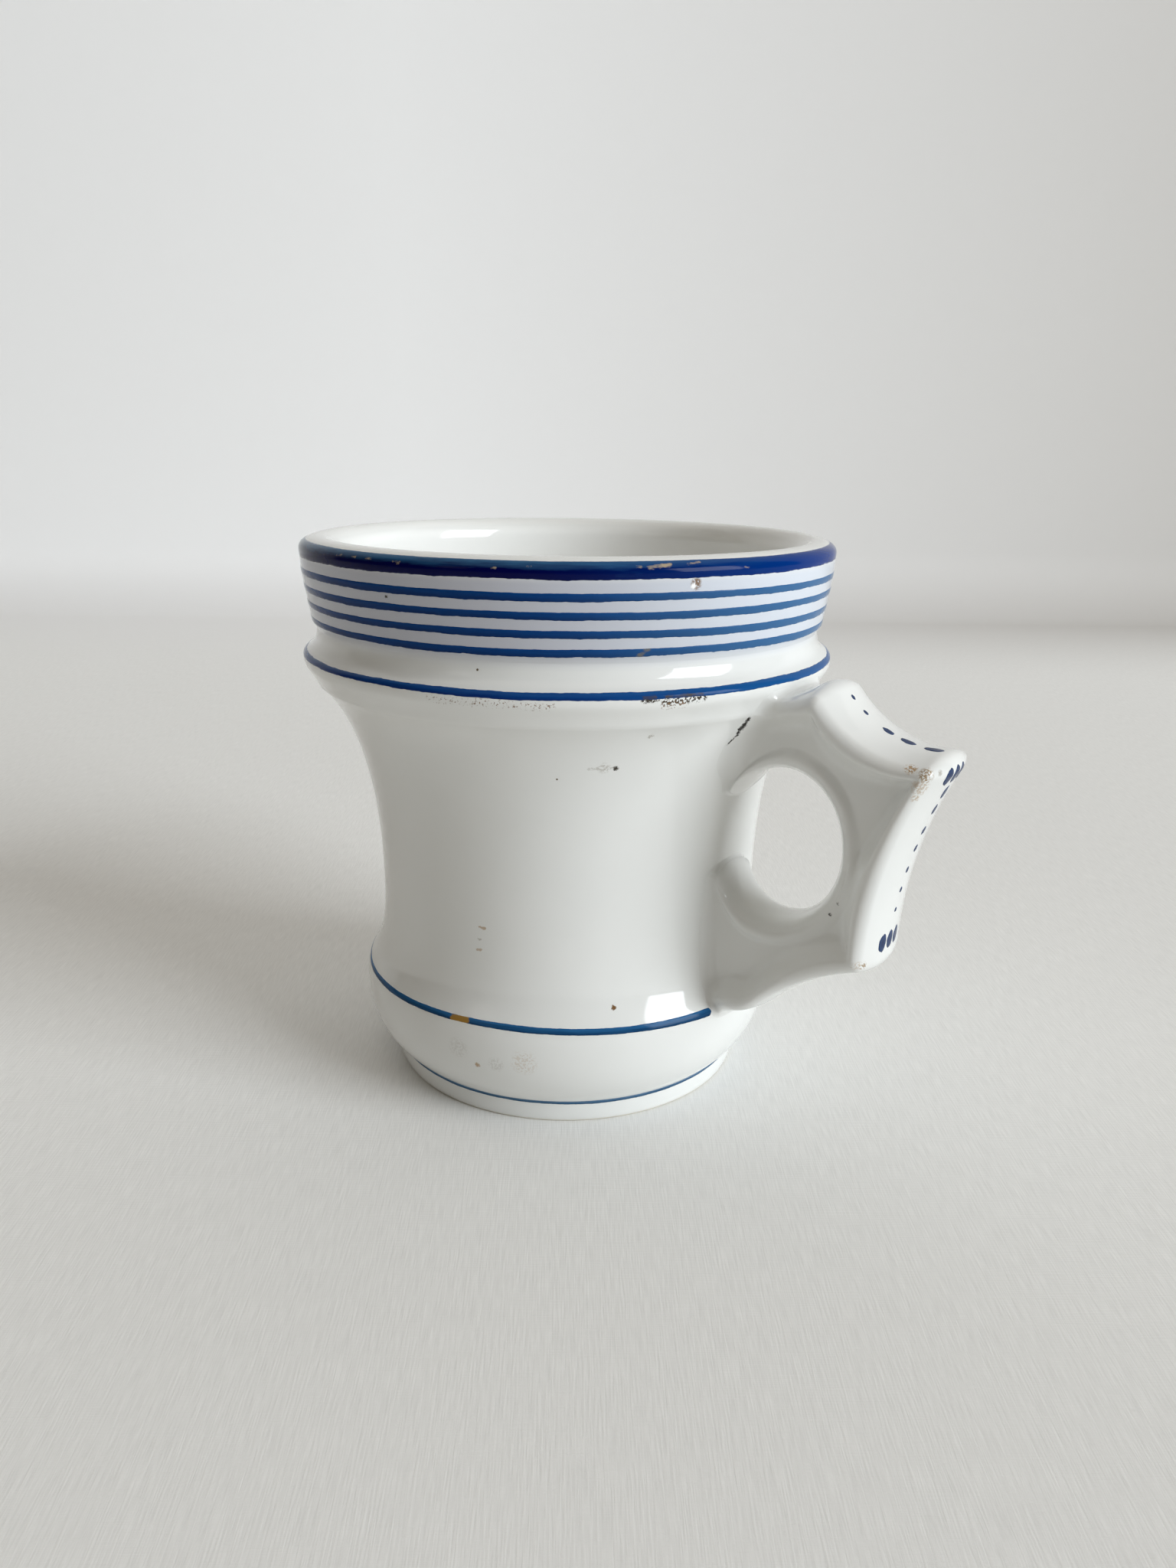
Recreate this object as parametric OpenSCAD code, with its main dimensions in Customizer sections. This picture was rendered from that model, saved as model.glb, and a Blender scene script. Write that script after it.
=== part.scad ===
// Brulot cup: thick porcelain coffee cup with a knuckle handle and hand-painted cobalt lines.
// Millimetres. The cup stands on the XY plane, its axis is +Z and the handle points along +X.

/* [Heights, from the table up] */
// Foot ring, from the table to the crease
foot_h = 3.7; // [3:0.1:6]
// Base, from the crease to the widest place of the base swell
base_h = 11.2; // [9:0.1:15]
// Lower body, from the base swell to the waist
lower_h = 16.1; // [13:0.1:20]
// Bell, from the waist to the underside of the bead
bell_h = 36.1; // [30:0.1:46]
// Lower half of the bead
bead_low_h = 4.2; // [3:0.1:6]
// Cove, from the bead's widest place up to the neck
bead_top_h = 4.6; // [3.6:0.1:6]
// Step out from the neck to the foot of the collar
cove_h = 1.1; // [0.7:0.1:1.8]
// Collar, up to the widest place of the lip
collar_h = 11.2; // [9.6:0.1:16]
// Rounded lip, up to the rim
lip_h = 1.8; // [1.2:0.1:3]

/* [Outside] */
// Outer diameter of the flat ring that touches the table
foot_d = 59; // [50:0.2:64]
// How far the foot's rounded edge leans out above the table
foot_edge = 0.8; // [0.4:0.1:1.6]
// Diameter of the base swell
swell_d = 70.3; // [66:0.1:80]
// Diameter of the waist
waist_d = 63.5; // [58:0.2:70]
// Diameter of the bead
bead_d = 86.1; // [80:0.1:94]
// How far the bell's upper end lies inside the bead
bell_in = 2; // [1:0.1:3]
// How far the neck lies inside the bead
neck_in = 2.35; // [1.9:0.05:4]
// How far the foot of the collar lies inside the bead
collar_in = 1.7; // [1:0.1:2.1]
// How far the lip lies inside the bead
lip_in = 0.2; // [0:0.05:1.4]
// How far the rim's crest lies inside the lip
crest_in = 3.2; // [2:0.1:4]

/* [Inside] */
// Wall thickness at the lip
lip_wall = 6.1; // [5:0.1:8]
// How far the inner lip rounds over below the rim
mouth_round = 3.4; // [2:0.1:6]
// Wall thickness at the neck
neck_wall = 5; // [3:0.1:6]
// Wall thickness at the waist
waist_wall = 4.7; // [3:0.1:7]
// Thickness of the floor
floor_t = 6.2; // [4:0.1:10]
// Depth of the hollow under the cup, inside the foot ring
foot_recess = 2.8; // [1:0.1:3.6]
// Width of the flat ring that touches the table
foot_ring_w = 3.4; // [2:0.1:6]

/* [Handle outline] */
// How far the shoulder corner stands out from the bead
shoulder_out = 5.95; // [4.5:0.05:8]
// How far the shoulder corner stands above the bead's widest place
shoulder_up = 1.6; // [0.7:0.1:2.6]
// How far the upper corner stands out from the waist
knuckle_out = 37.4; // [33:0.1:43]
// How far the upper corner lies under the bead's widest place
knuckle_down = 6.5; // [4.5:0.1:9.5]
// How far the lower corner stands out from the waist
heel_out = 27.9; // [25:0.1:31]
// How far the lower corner lies under the waist
heel_down = 0.5; // [0:0.1:3]
// How far the toe, where the underside turns in, stands out from the base swell
toe_out = 6.15; // [4:0.05:9]
// How far the toe stands above the base swell's widest place
toe_up = 4; // [3.3:0.1:6]
// How far the handle's upper end lies under the bead's widest place
seat_top_down = 1.7; // [1.2:0.1:3.2]
// How far the handle's lower end stands above the base swell's widest place
seat_low_up = 2.3; // [1.6:0.1:3]
// How deep the ledge behind the shoulder is hollowed
ledge_hollow = 0.4; // [0.2:0.1:0.8]
// How deep the top face is hollowed
top_hollow = 3.8; // [1:0.1:4.4]
// How deep the spine is hollowed
spine_hollow = 2.4; // [1:0.1:4]
// How deep the underside is hollowed
under_hollow = 1.6; // [0.4:0.1:2.4]
// How deep the toe is hollowed
toe_hollow = 0.15; // [0.1:0.05:0.3]
// Rounding radius of the shoulder corner
shoulder_r = 2.6; // [2:0.1:4]
// Rounding radius of the upper corner
knuckle_r = 2.1; // [2:0.1:4]
// Rounding radius of the lower corner
heel_r = 2.6; // [2:0.1:5]
// Rounding radius of the toe
toe_r = 9; // [4:0.2:14]

/* [Handle section] */
// Width of the handle across its outer face
handle_w = 15.4; // [12:0.2:18]
// How far the outer face is crowned across its width
crown = 1.6; // [0.6:0.05:1.9]
// How far the outer face is crowned at the two joints
joint_crown = 0.7; // [0.3:0.1:1.5]
// Thickness of the web between the roll and the outer face
web_t = 9.4; // [7:0.2:10.4]
// How far in from the outer face the web flares out
flare = 4.6; // [2:0.2:6]

/* [Finger hole] */
// Width of the finger hole at its narrowest
hole_w = 19.8; // [16:0.2:22]
// Height of the finger hole at its narrowest
hole_h = 23.6; // [19:0.2:27]
// Lean of the finger hole towards the spine, in degrees
hole_lean = 13; // [0:1:20]
// How far the finger hole's centre stands above the middle of the handle's two ends
hole_up = 3; // [1:0.1:5]
// How far the hole's inner end runs into the cup's wall
hole_bite = 0.8; // [0.4:0.1:2]
// Width of the roll round the hole
roll_w = 10.6; // [9:0.2:13]
// How far the roll rounds over from the hole to the web
roll_round = 2.6; // [1.5:0.1:3.5]
// How far the roll runs out into the web
roll_run = 1.8; // [1:0.1:3]

/* [Joints] */
// Thickness of the slip layer between handle and cup
slip_t = 0.4; // [0.2:0.05:0.8]
// How far the wiped slip spreads past the handle's end
slip_spread = 0.6; // [0.3:0.1:1.2]
// Width of the handle's upper end on the cup
upper_joint_w = 16.8; // [13:0.2:20]
// Width of the handle's lower end on the cup
lower_joint_w = 12.4; // [10:0.2:15]
// Distance from the cup over which the ends take up that width
joint_run = 6; // [3:0.2:8]

/* [Paint] */
// Thickness of the cobalt paint
paint_t = 0.12; // [0.08:0.01:0.25]
// Height of the rim band, down the outside of the lip
rim_band_h = 2.6; // [1.5:0.1:4]
// How far the rim band's upper edge lies under the crest
rim_band_drop = 0.3; // [0.2:0.05:0.8]
// How far the first collar line lies under the crest
first_line_drop = 5; // [4.5:0.1:5.4]
// Distance from one collar line to the next, middle to middle
line_pitch = 2.5; // [1.8:0.05:2.6]
// Width of a collar line
collar_line_w = 1.1; // [0.6:0.05:1.6]
// Width of the line on the bead
bead_line_w = 0.9; // [0.6:0.05:1.8]
// How far that line stands above the bead's widest place
bead_line_up = 0.6; // [0:0.05:1.2]
// How far the base line stands above the base swell's widest place
base_line_up = 3.9; // [2.8:0.1:4.4]
// Width of the line on the base swell
base_line_w = 0.85; // [0.6:0.05:1.6]
// Gap from the handle's joint to the end of the base line
base_line_gap = 1; // [0.5:0.1:4]
// Width of the line in the crease over the foot
foot_line_w = 0.6; // [0.3:0.05:1]
// Length of the largest dot on the handle's top face and spine
dot_l = 2.8; // [1.5:0.1:3.4]
// Width of that dot
dot_w = 1.8; // [0.6:0.05:2]
// Length of a stroke at a corner
stroke_l = 2.6; // [1.4:0.1:3.2]
// Width of a stroke at a corner
stroke_w = 1.65; // [0.6:0.05:1.7]
// Distance from one corner stroke to the next
stroke_pitch = 1.85; // [1.75:0.05:2.4]

/* [Hidden] */
$fn = 180;

porcelain = [0.93, 0.94, 0.92];
slip_white = [0.89, 0.89, 0.86];
cobalt = [0.07, 0.16, 0.46];

// Steps along each curve of the profile
curve_steps = 7;
// Heights closer than this count as one
near = 0.001;
// Step up and down the wall over which its slope is taken
slope_step = 0.1;

// Cubic curve from p to q, leaving along out and arriving along in
function curve(p, q, out, in, n = curve_steps) = [
  for (i = [1:n])
    let (t = i / n, a = p + out, b = q - in)
    p * pow(1 - t, 3) + a * 3 * t * pow(1 - t, 2) + b * 3 * t * t * (1 - t) + q * pow(t, 3)
];
// A share of the step from p to q, given apart for radius and height
function share(p, q, r, z) = [(q[0] - p[0]) * r, (q[1] - p[1]) * z];

// Heights of the stations of the profile
swell_z = foot_h + base_h;
waist_z = swell_z + lower_h;
bell_z = waist_z + bell_h;
bead_z = bell_z + bead_low_h;
neck_z = bead_z + bead_top_h;
collar_z = neck_z + cove_h;
lip_z = collar_z + collar_h;
cup_h = lip_z + lip_h;

// Stations of the outer profile, radius and height
foot_p = [foot_d / 2, 0];
crease_p = [foot_d / 2 + foot_edge, foot_h];
swell_p = [swell_d / 2, swell_z];
waist_p = [waist_d / 2, waist_z];
bell_p = [bead_d / 2 - bell_in, bell_z];
bead_p = [bead_d / 2, bead_z];
neck_p = [bead_d / 2 - neck_in, neck_z];
collar_p = [bead_d / 2 - collar_in, collar_z];
lip_p = [bead_d / 2 - lip_in, lip_z];
crest_p = [lip_p[0] - crest_in, cup_h];

outer = concat(
  [foot_p],
  curve(foot_p, crease_p, share(foot_p, crease_p, 0.6, 0), share(foot_p, crease_p, 0, 0.6)),
  curve(crease_p, swell_p, share(crease_p, swell_p, 0.35, 0.16), share(crease_p, swell_p, 0, 0.61)),
  curve(swell_p, waist_p, share(swell_p, waist_p, 0, 0.34), share(swell_p, waist_p, 0, 0.8)),
  curve(waist_p, bell_p, share(waist_p, bell_p, 0, 0.52), share(waist_p, bell_p, 0.59, 0.14)),
  curve(bell_p, bead_p, share(bell_p, bead_p, 0.57, 0.63), share(bell_p, bead_p, 0, 0.36)),
  curve(bead_p, neck_p, share(bead_p, neck_p, 0, 0.35), share(bead_p, neck_p, 0, 0.81)),
  curve(neck_p, collar_p, share(neck_p, collar_p, 0, 0.1), share(neck_p, collar_p, 0.3, 0.3)),
  curve(collar_p, lip_p, share(collar_p, lip_p, 0.3, 0.23), share(collar_p, lip_p, 0, 0.28)),
  curve(lip_p, crest_p, share(lip_p, crest_p, 0, 0.55), share(lip_p, crest_p, 0.55, 0))
);

// Stations of the inside, from the rim down to the middle of the floor
mouth_p = [lip_p[0] - lip_wall, cup_h - mouth_round];
inner_neck_p = [neck_p[0] - neck_wall, neck_z];
inner_waist_p = [waist_p[0] - waist_wall, waist_z];
floor_p = [0, foot_recess + floor_t];

inner = concat(
  curve(crest_p, mouth_p, share(crest_p, mouth_p, 0.55, 0), share(crest_p, mouth_p, 0, 0.55)),
  curve(mouth_p, inner_neck_p, share(mouth_p, inner_neck_p, 0, 0.3), share(mouth_p, inner_neck_p, 0.5, 0.3)),
  curve(inner_neck_p, inner_waist_p, share(inner_neck_p, inner_waist_p, 0.12, 0.2),
        share(inner_neck_p, inner_waist_p, 0, 0.46)),
  curve(inner_waist_p, floor_p, share(inner_waist_p, floor_p, 0.08, 0.8), share(inner_waist_p, floor_p, 0.62, 0))
);

// Underside, from the middle of the hollow out to the flat ring
ring_in = foot_d / 2 - foot_ring_w;
recess_fillet = foot_recess / 2;
recess_bend = 0.3;
underside = [
  [0, foot_recess],
  [ring_in - 2 * recess_fillet, foot_recess],
  [ring_in - recess_fillet, foot_recess - recess_fillet * recess_bend],
  [ring_in - recess_fillet * recess_bend, recess_fillet],
  [ring_in, 0]
];

// Outer radius at a height, and the outward direction there as radius and height
radius_table = [for (p = outer) [p[1], p[0]]];
function body_r(z) = lookup(z, radius_table);
function outward(z) =
  let (z0 = max(z - slope_step, 0), z1 = min(z + slope_step, cup_h), d = [body_r(z1) - body_r(z0), z1 - z0])
  [d[1], -d[0]] / norm(d);
// Distance along +X to the surface that lies off outside the cup, at a place across the handle
function face_x(z, y, off) = sqrt(pow(body_r(z) + off, 2) - y * y);

// Handle outline in its middle plane, as distance from the axis and height
seat_top_z = bead_z - seat_top_down;
seat_low_z = swell_z + seat_low_up;
hole_z = (seat_top_z + seat_low_z) / 2 + hole_up;
hole_c = [body_r(hole_z) + slip_t - hole_bite + hole_w / 2, hole_z];
corners = [
  [body_r(seat_top_z) + slip_t, seat_top_z],
  [bead_p[0] + shoulder_out, bead_z + shoulder_up],
  [waist_p[0] + knuckle_out, bead_z - knuckle_down],
  [waist_p[0] + heel_out, waist_z - heel_down],
  [swell_p[0] + toe_out, swell_z + toe_up],
  [body_r(seat_low_z) + slip_t, seat_low_z]
];
hollows = [ledge_hollow, top_hollow, spine_hollow, under_hollow, toe_hollow];
corner_r = [shoulder_r, knuckle_r, heel_r, toe_r];
sides = len(hollows);

// Each side is an arc hollowed between two corners, so its centre lies outside the handle
function side_r(k) = let (c = norm(corners[k + 1] - corners[k])) c * c / (8 * hollows[k]) + hollows[k] / 2;
function side_c(k) =
  let (d = corners[k + 1] - corners[k], n = [-d[1], d[0]] / norm(d))
  (corners[k] + corners[k + 1]) / 2 + n * (side_r(k) - hollows[k]);
side_rs = [for (k = [0:sides - 1]) side_r(k)];
side_cs = [for (k = [0:sides - 1]) side_c(k)];

// Each corner is an arc that touches the sides before and after it
function meet(o1, r1, o2, r2) =
  let (d = o2 - o1, l = norm(d), a = (l * l + r1 * r1 - r2 * r2) / (2 * l),
       h = sqrt(max(r1 * r1 - a * a, 0)), m = o1 + d * a / l, n = [-d[1], d[0]] / l,
       p = m + n * h, q = m - n * h)
  norm(p - hole_c) < norm(q - hole_c) ? p : q;
round_cs = [
  for (k = [0:sides - 2])
    meet(side_cs[k], side_rs[k] + corner_r[k], side_cs[k + 1], side_rs[k + 1] + corner_r[k])
];
function touch(k, c) = side_cs[k] + (round_cs[c] - side_cs[k]) * side_rs[k] / norm(round_cs[c] - side_cs[k]);

function angle_of(v) = atan2(v[1], v[0]);
function turn(a, b) = let (d = b - a) d > 180 ? d - 360 : d < -180 ? d + 360 : d;
// Pieces of the outline in order, side, corner, side: centre, radius, first angle, sweep, +1 where hollow
function side_arc(k) =
  let (p = k == 0 ? corners[0] : touch(k, k - 1), q = k == sides - 1 ? corners[sides] : touch(k, k),
       a = angle_of(p - side_cs[k]))
  [side_cs[k], side_rs[k], a, turn(a, angle_of(q - side_cs[k])), 1];
function corner_arc(c) =
  let (a = angle_of(touch(c, c) - round_cs[c]))
  [round_cs[c], corner_r[c], a, turn(a, angle_of(touch(c + 1, c) - round_cs[c])), -1];
arcs = [for (k = [0:2 * sides - 2]) k % 2 == 0 ? side_arc(k / 2) : corner_arc((k - 1) / 2)];
// Names for the outline pieces that carry dots
top_arc = 2;
spine_arc = 4;

function arc_len(k) = arcs[k][1] * abs(arcs[k][3]) * PI / 180;
function arc_p(k, f) =
  let (g = arcs[k], a = g[2] + g[3] * f) g[0] + g[1] * [cos(a), sin(a)];
function arc_n(k, f) =
  let (g = arcs[k], a = g[2] + g[3] * f) -g[4] * [cos(a), sin(a)];

// The crown fades along the ledge and from the underside on
under_arc = 6;
function crown_at(k, f) =
  let (fade = k == 0 ? 1 - f : max(0, (k - under_arc + f) / (len(arcs) - under_arc)))
  crown + (joint_crown - crown) * fade;

// Point of the crowned outer face, x y z, at a place along the outline and across the handle, lifted by lift
function face_p(k, f, y, lift = 0) =
  let (p = arc_p(k, f) - arc_n(k, f) * (crown_at(k, f) * pow(2 * y / handle_w, 2) - lift))
  [p[0], y, p[1]];

// Where the finger hole runs into the slip layer, searched between two angles about the hole's centre
function leaned(p, a) = [p[0] * cos(a) + p[1] * sin(a), p[1] * cos(a) - p[0] * sin(a)];
function hole_p(a) = hole_c + leaned([hole_w / 2 * cos(a), hole_h / 2 * sin(a)], hole_lean);
function hole_angle(p) = let (d = leaned(p - hole_c, -hole_lean)) atan2(d[1] / hole_h, d[0] / hole_w);
function hole_end(lo, hi, n = 24) =
  n == 0 ? (lo + hi) / 2
  : let (m = (lo + hi) / 2, p = hole_p(m))
    p[0] > body_r(p[1]) + slip_t ? hole_end(m, hi, n - 1) : hole_end(lo, m, n - 1);
hole_top = hole_end(80, 180);
hole_low = hole_end(-80, -180);

// The spoke angle of the hole that goes with each place on the outline
function joint_angle(k) =
  k == 0 ? hole_top : k == len(arcs) ? hole_low : hole_angle(arc_p(k, 0));
function spoke(k, f) = joint_angle(k) + (joint_angle(k + 1) - joint_angle(k)) * f;

// Rings of the loft: steps along each outline piece
ring_steps = [6, 3, 9, 5, 11, 5, 8, 3, 3];
stations = concat(
  [for (k = [0:len(arcs) - 1]) for (i = [0:ring_steps[k] - 1]) [k, i / ring_steps[k]]],
  [[len(arcs) - 1, 1]]
);
last_ring = len(stations) - 1;

// Half section from the hole's middle round the front to the middle of the outer face
roll_steps = 4;
web_steps = 7;
crown_steps = 5;
// Shares of the half width where the rounded edge ends and the crown starts
edge_share = 0.93;
edge_drop = 0.7;
// How much farther from the cup each ring of the loft keeps than the one before it
ring_clear = 0.12;

function ease(x) = (1 + cos(180 * min(max(x, 0), 1))) / 2;
function half_w(d, l) =
  (web_t + (roll_w - web_t) * ease((d - roll_round) / roll_run)
    + (handle_w - web_t) * pow(max(0, 1 - (l - d) / flare), 2)) / 2;

// Where a point comes to lie beside the cup: never nearer than clear, and drawn to the joint's width close to it
function seated(p, clear, joint_w) =
  let (x0 = max(p[0], face_x(p[2], p[1], slip_t) + clear),
       close = max(0, 1 - (x0 - face_x(p[2], 0, slip_t)) / joint_run),
       goal = sign(p[1]) * joint_w / 2 * min(1, 2 * abs(p[1]) / web_t),
       y = p[1] + (goal - p[1]) * close * close)
  [clear == 0 ? face_x(p[2], y, slip_t) : max(x0, face_x(p[2], y, slip_t) + clear), y, p[2]];

// Half ring i of the loft, with the front of the handle at negative y
function half_ring(i) =
  let (k = stations[i][0], f = stations[i][1],
       hole_pt = hole_p(spoke(k, f)),
       edge = face_p(k, f, handle_w / 2), edge_pt = [edge[0], edge[2]],
       l = norm(edge_pt - hole_pt), e = (edge_pt - hole_pt) / l,
       clear = min(i, last_ring - i) * ring_clear,
       joint_w = i < last_ring / 2 ? upper_joint_w : lower_joint_w,
       roll = [for (j = [0:roll_steps]) let (a = 90 * j / roll_steps)
         [roll_round * (1 - cos(a)), roll_w / 2 * sin(a)]],
       web = [for (j = [1:web_steps]) let (d = roll_round + (l - edge_drop - roll_round) * j / web_steps)
         [d, half_w(d, l)]],
       side = concat(roll, web),
       flat_side = [for (q = side) let (p = hole_pt + e * q[0]) [p[0], -q[1], p[1]]],
       outer_face = [for (j = [0:crown_steps]) face_p(k, f, -handle_w / 2 * edge_share * (1 - j / crown_steps))])
  [for (p = concat(flat_side, outer_face)) seated(p, clear, joint_w)];

rings = [for (i = [0:last_ring]) half_ring(i)];
half_n = len(rings[0]);
ring_n = 2 * half_n - 2;
// Whole ring: the front half, then the back half mirrored, without its two ends on the middle plane
function whole(half) = concat(half, [for (j = [half_n - 2:-1:1]) [half[j][0], -half[j][1], half[j][2]]]);

// A pad that follows the cup, rows up the half ring and columns across it, off outside the cup's wall
pad_cols = 10;
function pad_rows(half, off, grow) =
  let (z0 = half[0][2], z1 = half[half_n - 1][2], mid = (z0 + z1) / 2, stretch = 1 + 2 * grow / abs(z1 - z0))
  [for (j = [1:half_n - 2])
    let (z = mid + (half[j][2] - mid) * stretch, w = half[j][1] - grow)
    [for (c = [0:pad_cols]) let (y = w * (1 - 2 * c / pad_cols)) [face_x(z, y, off), y, z]]];
function pad_end(half, j, off, grow) =
  let (z0 = half[0][2], z1 = half[half_n - 1][2], mid = (z0 + z1) / 2, stretch = 1 + 2 * grow / abs(z1 - z0),
       z = mid + (half[j][2] - mid) * stretch)
  [face_x(z, 0, off), 0, z];
function pad_points(half, off, grow) =
  concat([pad_end(half, 0, off, grow)], [for (r = pad_rows(half, off, grow)) each r],
         [pad_end(half, half_n - 1, off, grow)]);
pad_n = 2 + (half_n - 2) * (pad_cols + 1);
function pad_at(j, c) = 1 + (j - 1) * (pad_cols + 1) + c;
// Triangles of a pad, seen from one side, or from the other where flip is true
function faces_turned(fs, flip) = flip ? [for (t = fs) [t[0], t[2], t[1]]] : fs;
pad_faces = concat(
  [for (c = [0:pad_cols - 1]) [0, pad_at(1, c + 1), pad_at(1, c)]],
  [for (j = [1:half_n - 3]) for (c = [0:pad_cols - 1]) each [
    [pad_at(j, c), pad_at(j, c + 1), pad_at(j + 1, c)],
    [pad_at(j, c + 1), pad_at(j + 1, c + 1), pad_at(j + 1, c)]]],
  [for (c = [0:pad_cols - 1]) [pad_at(half_n - 2, c), pad_at(half_n - 2, c + 1), pad_n - 1]]
);
// The pad's points along its outline, in the order of a whole ring
pad_outline = concat(
  [0], [for (j = [1:half_n - 2]) pad_at(j, 0)], [pad_n - 1], [for (j = [half_n - 2:-1:1]) pad_at(j, pad_cols)]
);
function shifted(fs, by) = [for (t = fs) [for (i = t) i + by]];

// Paint line that follows the cup's wall from one height to another
function line_zs(z0, z1) =
  concat([z0], [for (p = outer) if (p[1] > z0 + near && p[1] < z1 - near) p[1]], [z1]);
function painted(z0, z1) =
  let (zs = line_zs(z0, z1))
  concat([for (z = zs) [body_r(z), z]],
         [for (i = [len(zs) - 1:-1:0]) let (z = zs[i]) [body_r(z), z] + outward(z) * paint_t]);

// Angle from the handle's middle plane to where the base line stops
base_line_z = swell_z + base_line_up;
base_line_stop = asin((lower_joint_w / 2 + slip_spread + base_line_gap) / body_r(base_line_z));

// Brush dot on the crowned face: an oval of length l and width w, thickest in the middle
dot_rings = 3;
dot_sides = 14;
// Share of its thickness that a dot loses from the middle to its edge
dot_taper = 0.7;
// Power by which a smaller dot is narrower too
dot_slim = 0.75;
// Outline piece and share of it that lie a length s on from the start of piece k
function place(k, s) =
  s < 0 && k > 0 ? place(k - 1, s + arc_len(k - 1))
  : s > arc_len(k) && k < len(arcs) - 1 ? place(k + 1, s - arc_len(k)) : [k, s / arc_len(k)];
function dot_p(k, s, y, l, w, q, a, lift) =
  let (at = place(k, s + l / 2 * q * cos(a))) face_p(at[0], at[1], y + w / 2 * q * sin(a), lift);
function dot_layer(k, s, y, l, w, thick) =
  concat([dot_p(k, s, y, l, w, 0, 0, thick)],
         [for (r = [1:dot_rings]) for (i = [0:dot_sides - 1])
           let (q = r / dot_rings) dot_p(k, s, y, l, w, q, 360 * i / dot_sides, thick * (1 - q * q * dot_taper))]);
dot_n = 1 + dot_rings * dot_sides;
function dot_at(r, i) = 1 + (r - 1) * dot_sides + i % dot_sides;
dot_faces = concat(
  [for (i = [0:dot_sides - 1]) [0, dot_at(1, i + 1), dot_at(1, i)]],
  [for (r = [1:dot_rings - 1]) for (i = [0:dot_sides - 1]) each [
    [dot_at(r, i), dot_at(r, i + 1), dot_at(r + 1, i)],
    [dot_at(r, i + 1), dot_at(r + 1, i + 1), dot_at(r + 1, i)]]]
);
dot_rim = [for (i = [0:dot_sides - 1]) dot_at(dot_rings, i)];

// Dots along the top face and down the spine: place as a share of the face, and size as a share of dot_l
top_dots = [[0.08, 0.32], [0.25, 0.34], [0.5, 0.68], [0.69, 0.84], [0.92, 1]];
spine_dots = [[0.1, 0.78], [0.2, 0.6], [0.32, 0.5], [0.42, 0.43], [0.54, 0.38], [0.65, 0.33], [0.76, 0.28]];
// The three strokes at each end of the spine: how far their middle lies up on the corner, and in from the heel
upper_strokes_up = 0.5;
lower_strokes_in = 2.4;

module cup_body() {
  color(porcelain) rotate_extrude() polygon(concat(underside, outer, inner));
}

// Wall of triangles between two loops of points
function wall(loop_a, loop_b) =
  let (n = len(loop_a))
  [for (i = [0:n - 1]) let (h = (i + 1) % n) each [
    [loop_a[i], loop_a[h], loop_b[i]], [loop_a[h], loop_b[h], loop_b[i]]]];
function loop_of(i) = [for (j = [0:ring_n - 1]) i * ring_n + j];

module handle() {
  ring_points = [for (r = rings) each whole(r)];
  side_faces = [for (i = [0:last_ring - 1]) each wall(loop_of(i), loop_of(i + 1))];
  color(porcelain) loft(ring_points, side_faces);
}

// Closes the loft's two ends with pads that follow the cup's wall
module loft(ring_points, side_faces) {
  first = len(ring_points);
  second = first + pad_n;
  first_edge = [for (i = pad_outline) i + first];
  second_edge = [for (i = pad_outline) i + second];
  points = concat(ring_points, pad_points(rings[0], slip_t, 0), pad_points(rings[last_ring], slip_t, 0));
  // The rings at both ends use the pads' own points, so that no point stands twice
  joined = [for (t = side_faces) [for (i = t)
    i < ring_n ? first_edge[i] : i >= last_ring * ring_n ? second_edge[i - last_ring * ring_n] : i]];
  polyhedron(points, concat(joined, shifted(faces_turned(pad_faces, false), first),
                            shifted(faces_turned(pad_faces, true), second)));
}

// Slip layer: a pad on the cup, a pad under the handle's end and the wiped edge between them
module slip_layer(half, up) {
  points = concat(pad_points(half, 0, slip_spread), pad_points(half, slip_t, 0));
  rim = wall(pad_outline, [for (i = pad_outline) i + pad_n]);
  color(slip_white) polyhedron(points, concat(
    faces_turned(pad_faces, !up), shifted(faces_turned(pad_faces, up), pad_n), faces_turned(rim, !up)));
}

module upper_slip_joint() {
  slip_layer(rings[0], true);
}

module lower_slip_joint() {
  slip_layer(rings[last_ring], false);
}

module paint_ring(z0, z1) {
  color(cobalt) rotate_extrude() polygon(painted(z0, z1));
}

module rim_band() {
  top = cup_h - rim_band_drop;
  paint_ring(top - rim_band_h, top);
}

module collar_line(n) {
  z = cup_h - first_line_drop - (n - 1) * line_pitch;
  paint_ring(z - collar_line_w / 2, z + collar_line_w / 2);
}

module bead_line() {
  z = bead_z + bead_line_up;
  paint_ring(z - bead_line_w / 2, z + bead_line_w / 2);
}

module base_line() {
  color(cobalt) rotate([0, 0, base_line_stop]) rotate_extrude(angle = 360 - 2 * base_line_stop)
    polygon(painted(base_line_z - base_line_w / 2, base_line_z + base_line_w / 2));
}

module foot_line() {
  paint_ring(foot_h - foot_line_w / 2, foot_h + foot_line_w / 2);
}

module dot(k, s, y, l, w) {
  points = concat(dot_layer(k, s, y, l, w, paint_t), dot_layer(k, s, y, l, w, 0));
  rim = wall(dot_rim, [for (i = dot_rim) i + dot_n]);
  polyhedron(points, concat(dot_faces, shifted(faces_turned(dot_faces, true), dot_n), rim));
}

module handle_top_dots() {
  color(cobalt) for (d = top_dots)
    dot(top_arc, d[0] * arc_len(top_arc), 0, dot_l * d[1], dot_w * pow(d[1], dot_slim));
}

module handle_spine_dots() {
  color(cobalt) for (d = spine_dots)
    dot(spine_arc, d[0] * arc_len(spine_arc), 0, dot_l * d[1], dot_w * pow(d[1], dot_slim));
}

module upper_corner_dots() {
  color(cobalt) for (i = [-1:1])
    dot(spine_arc, -upper_strokes_up, i * stroke_pitch, stroke_l, stroke_w);
}

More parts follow.
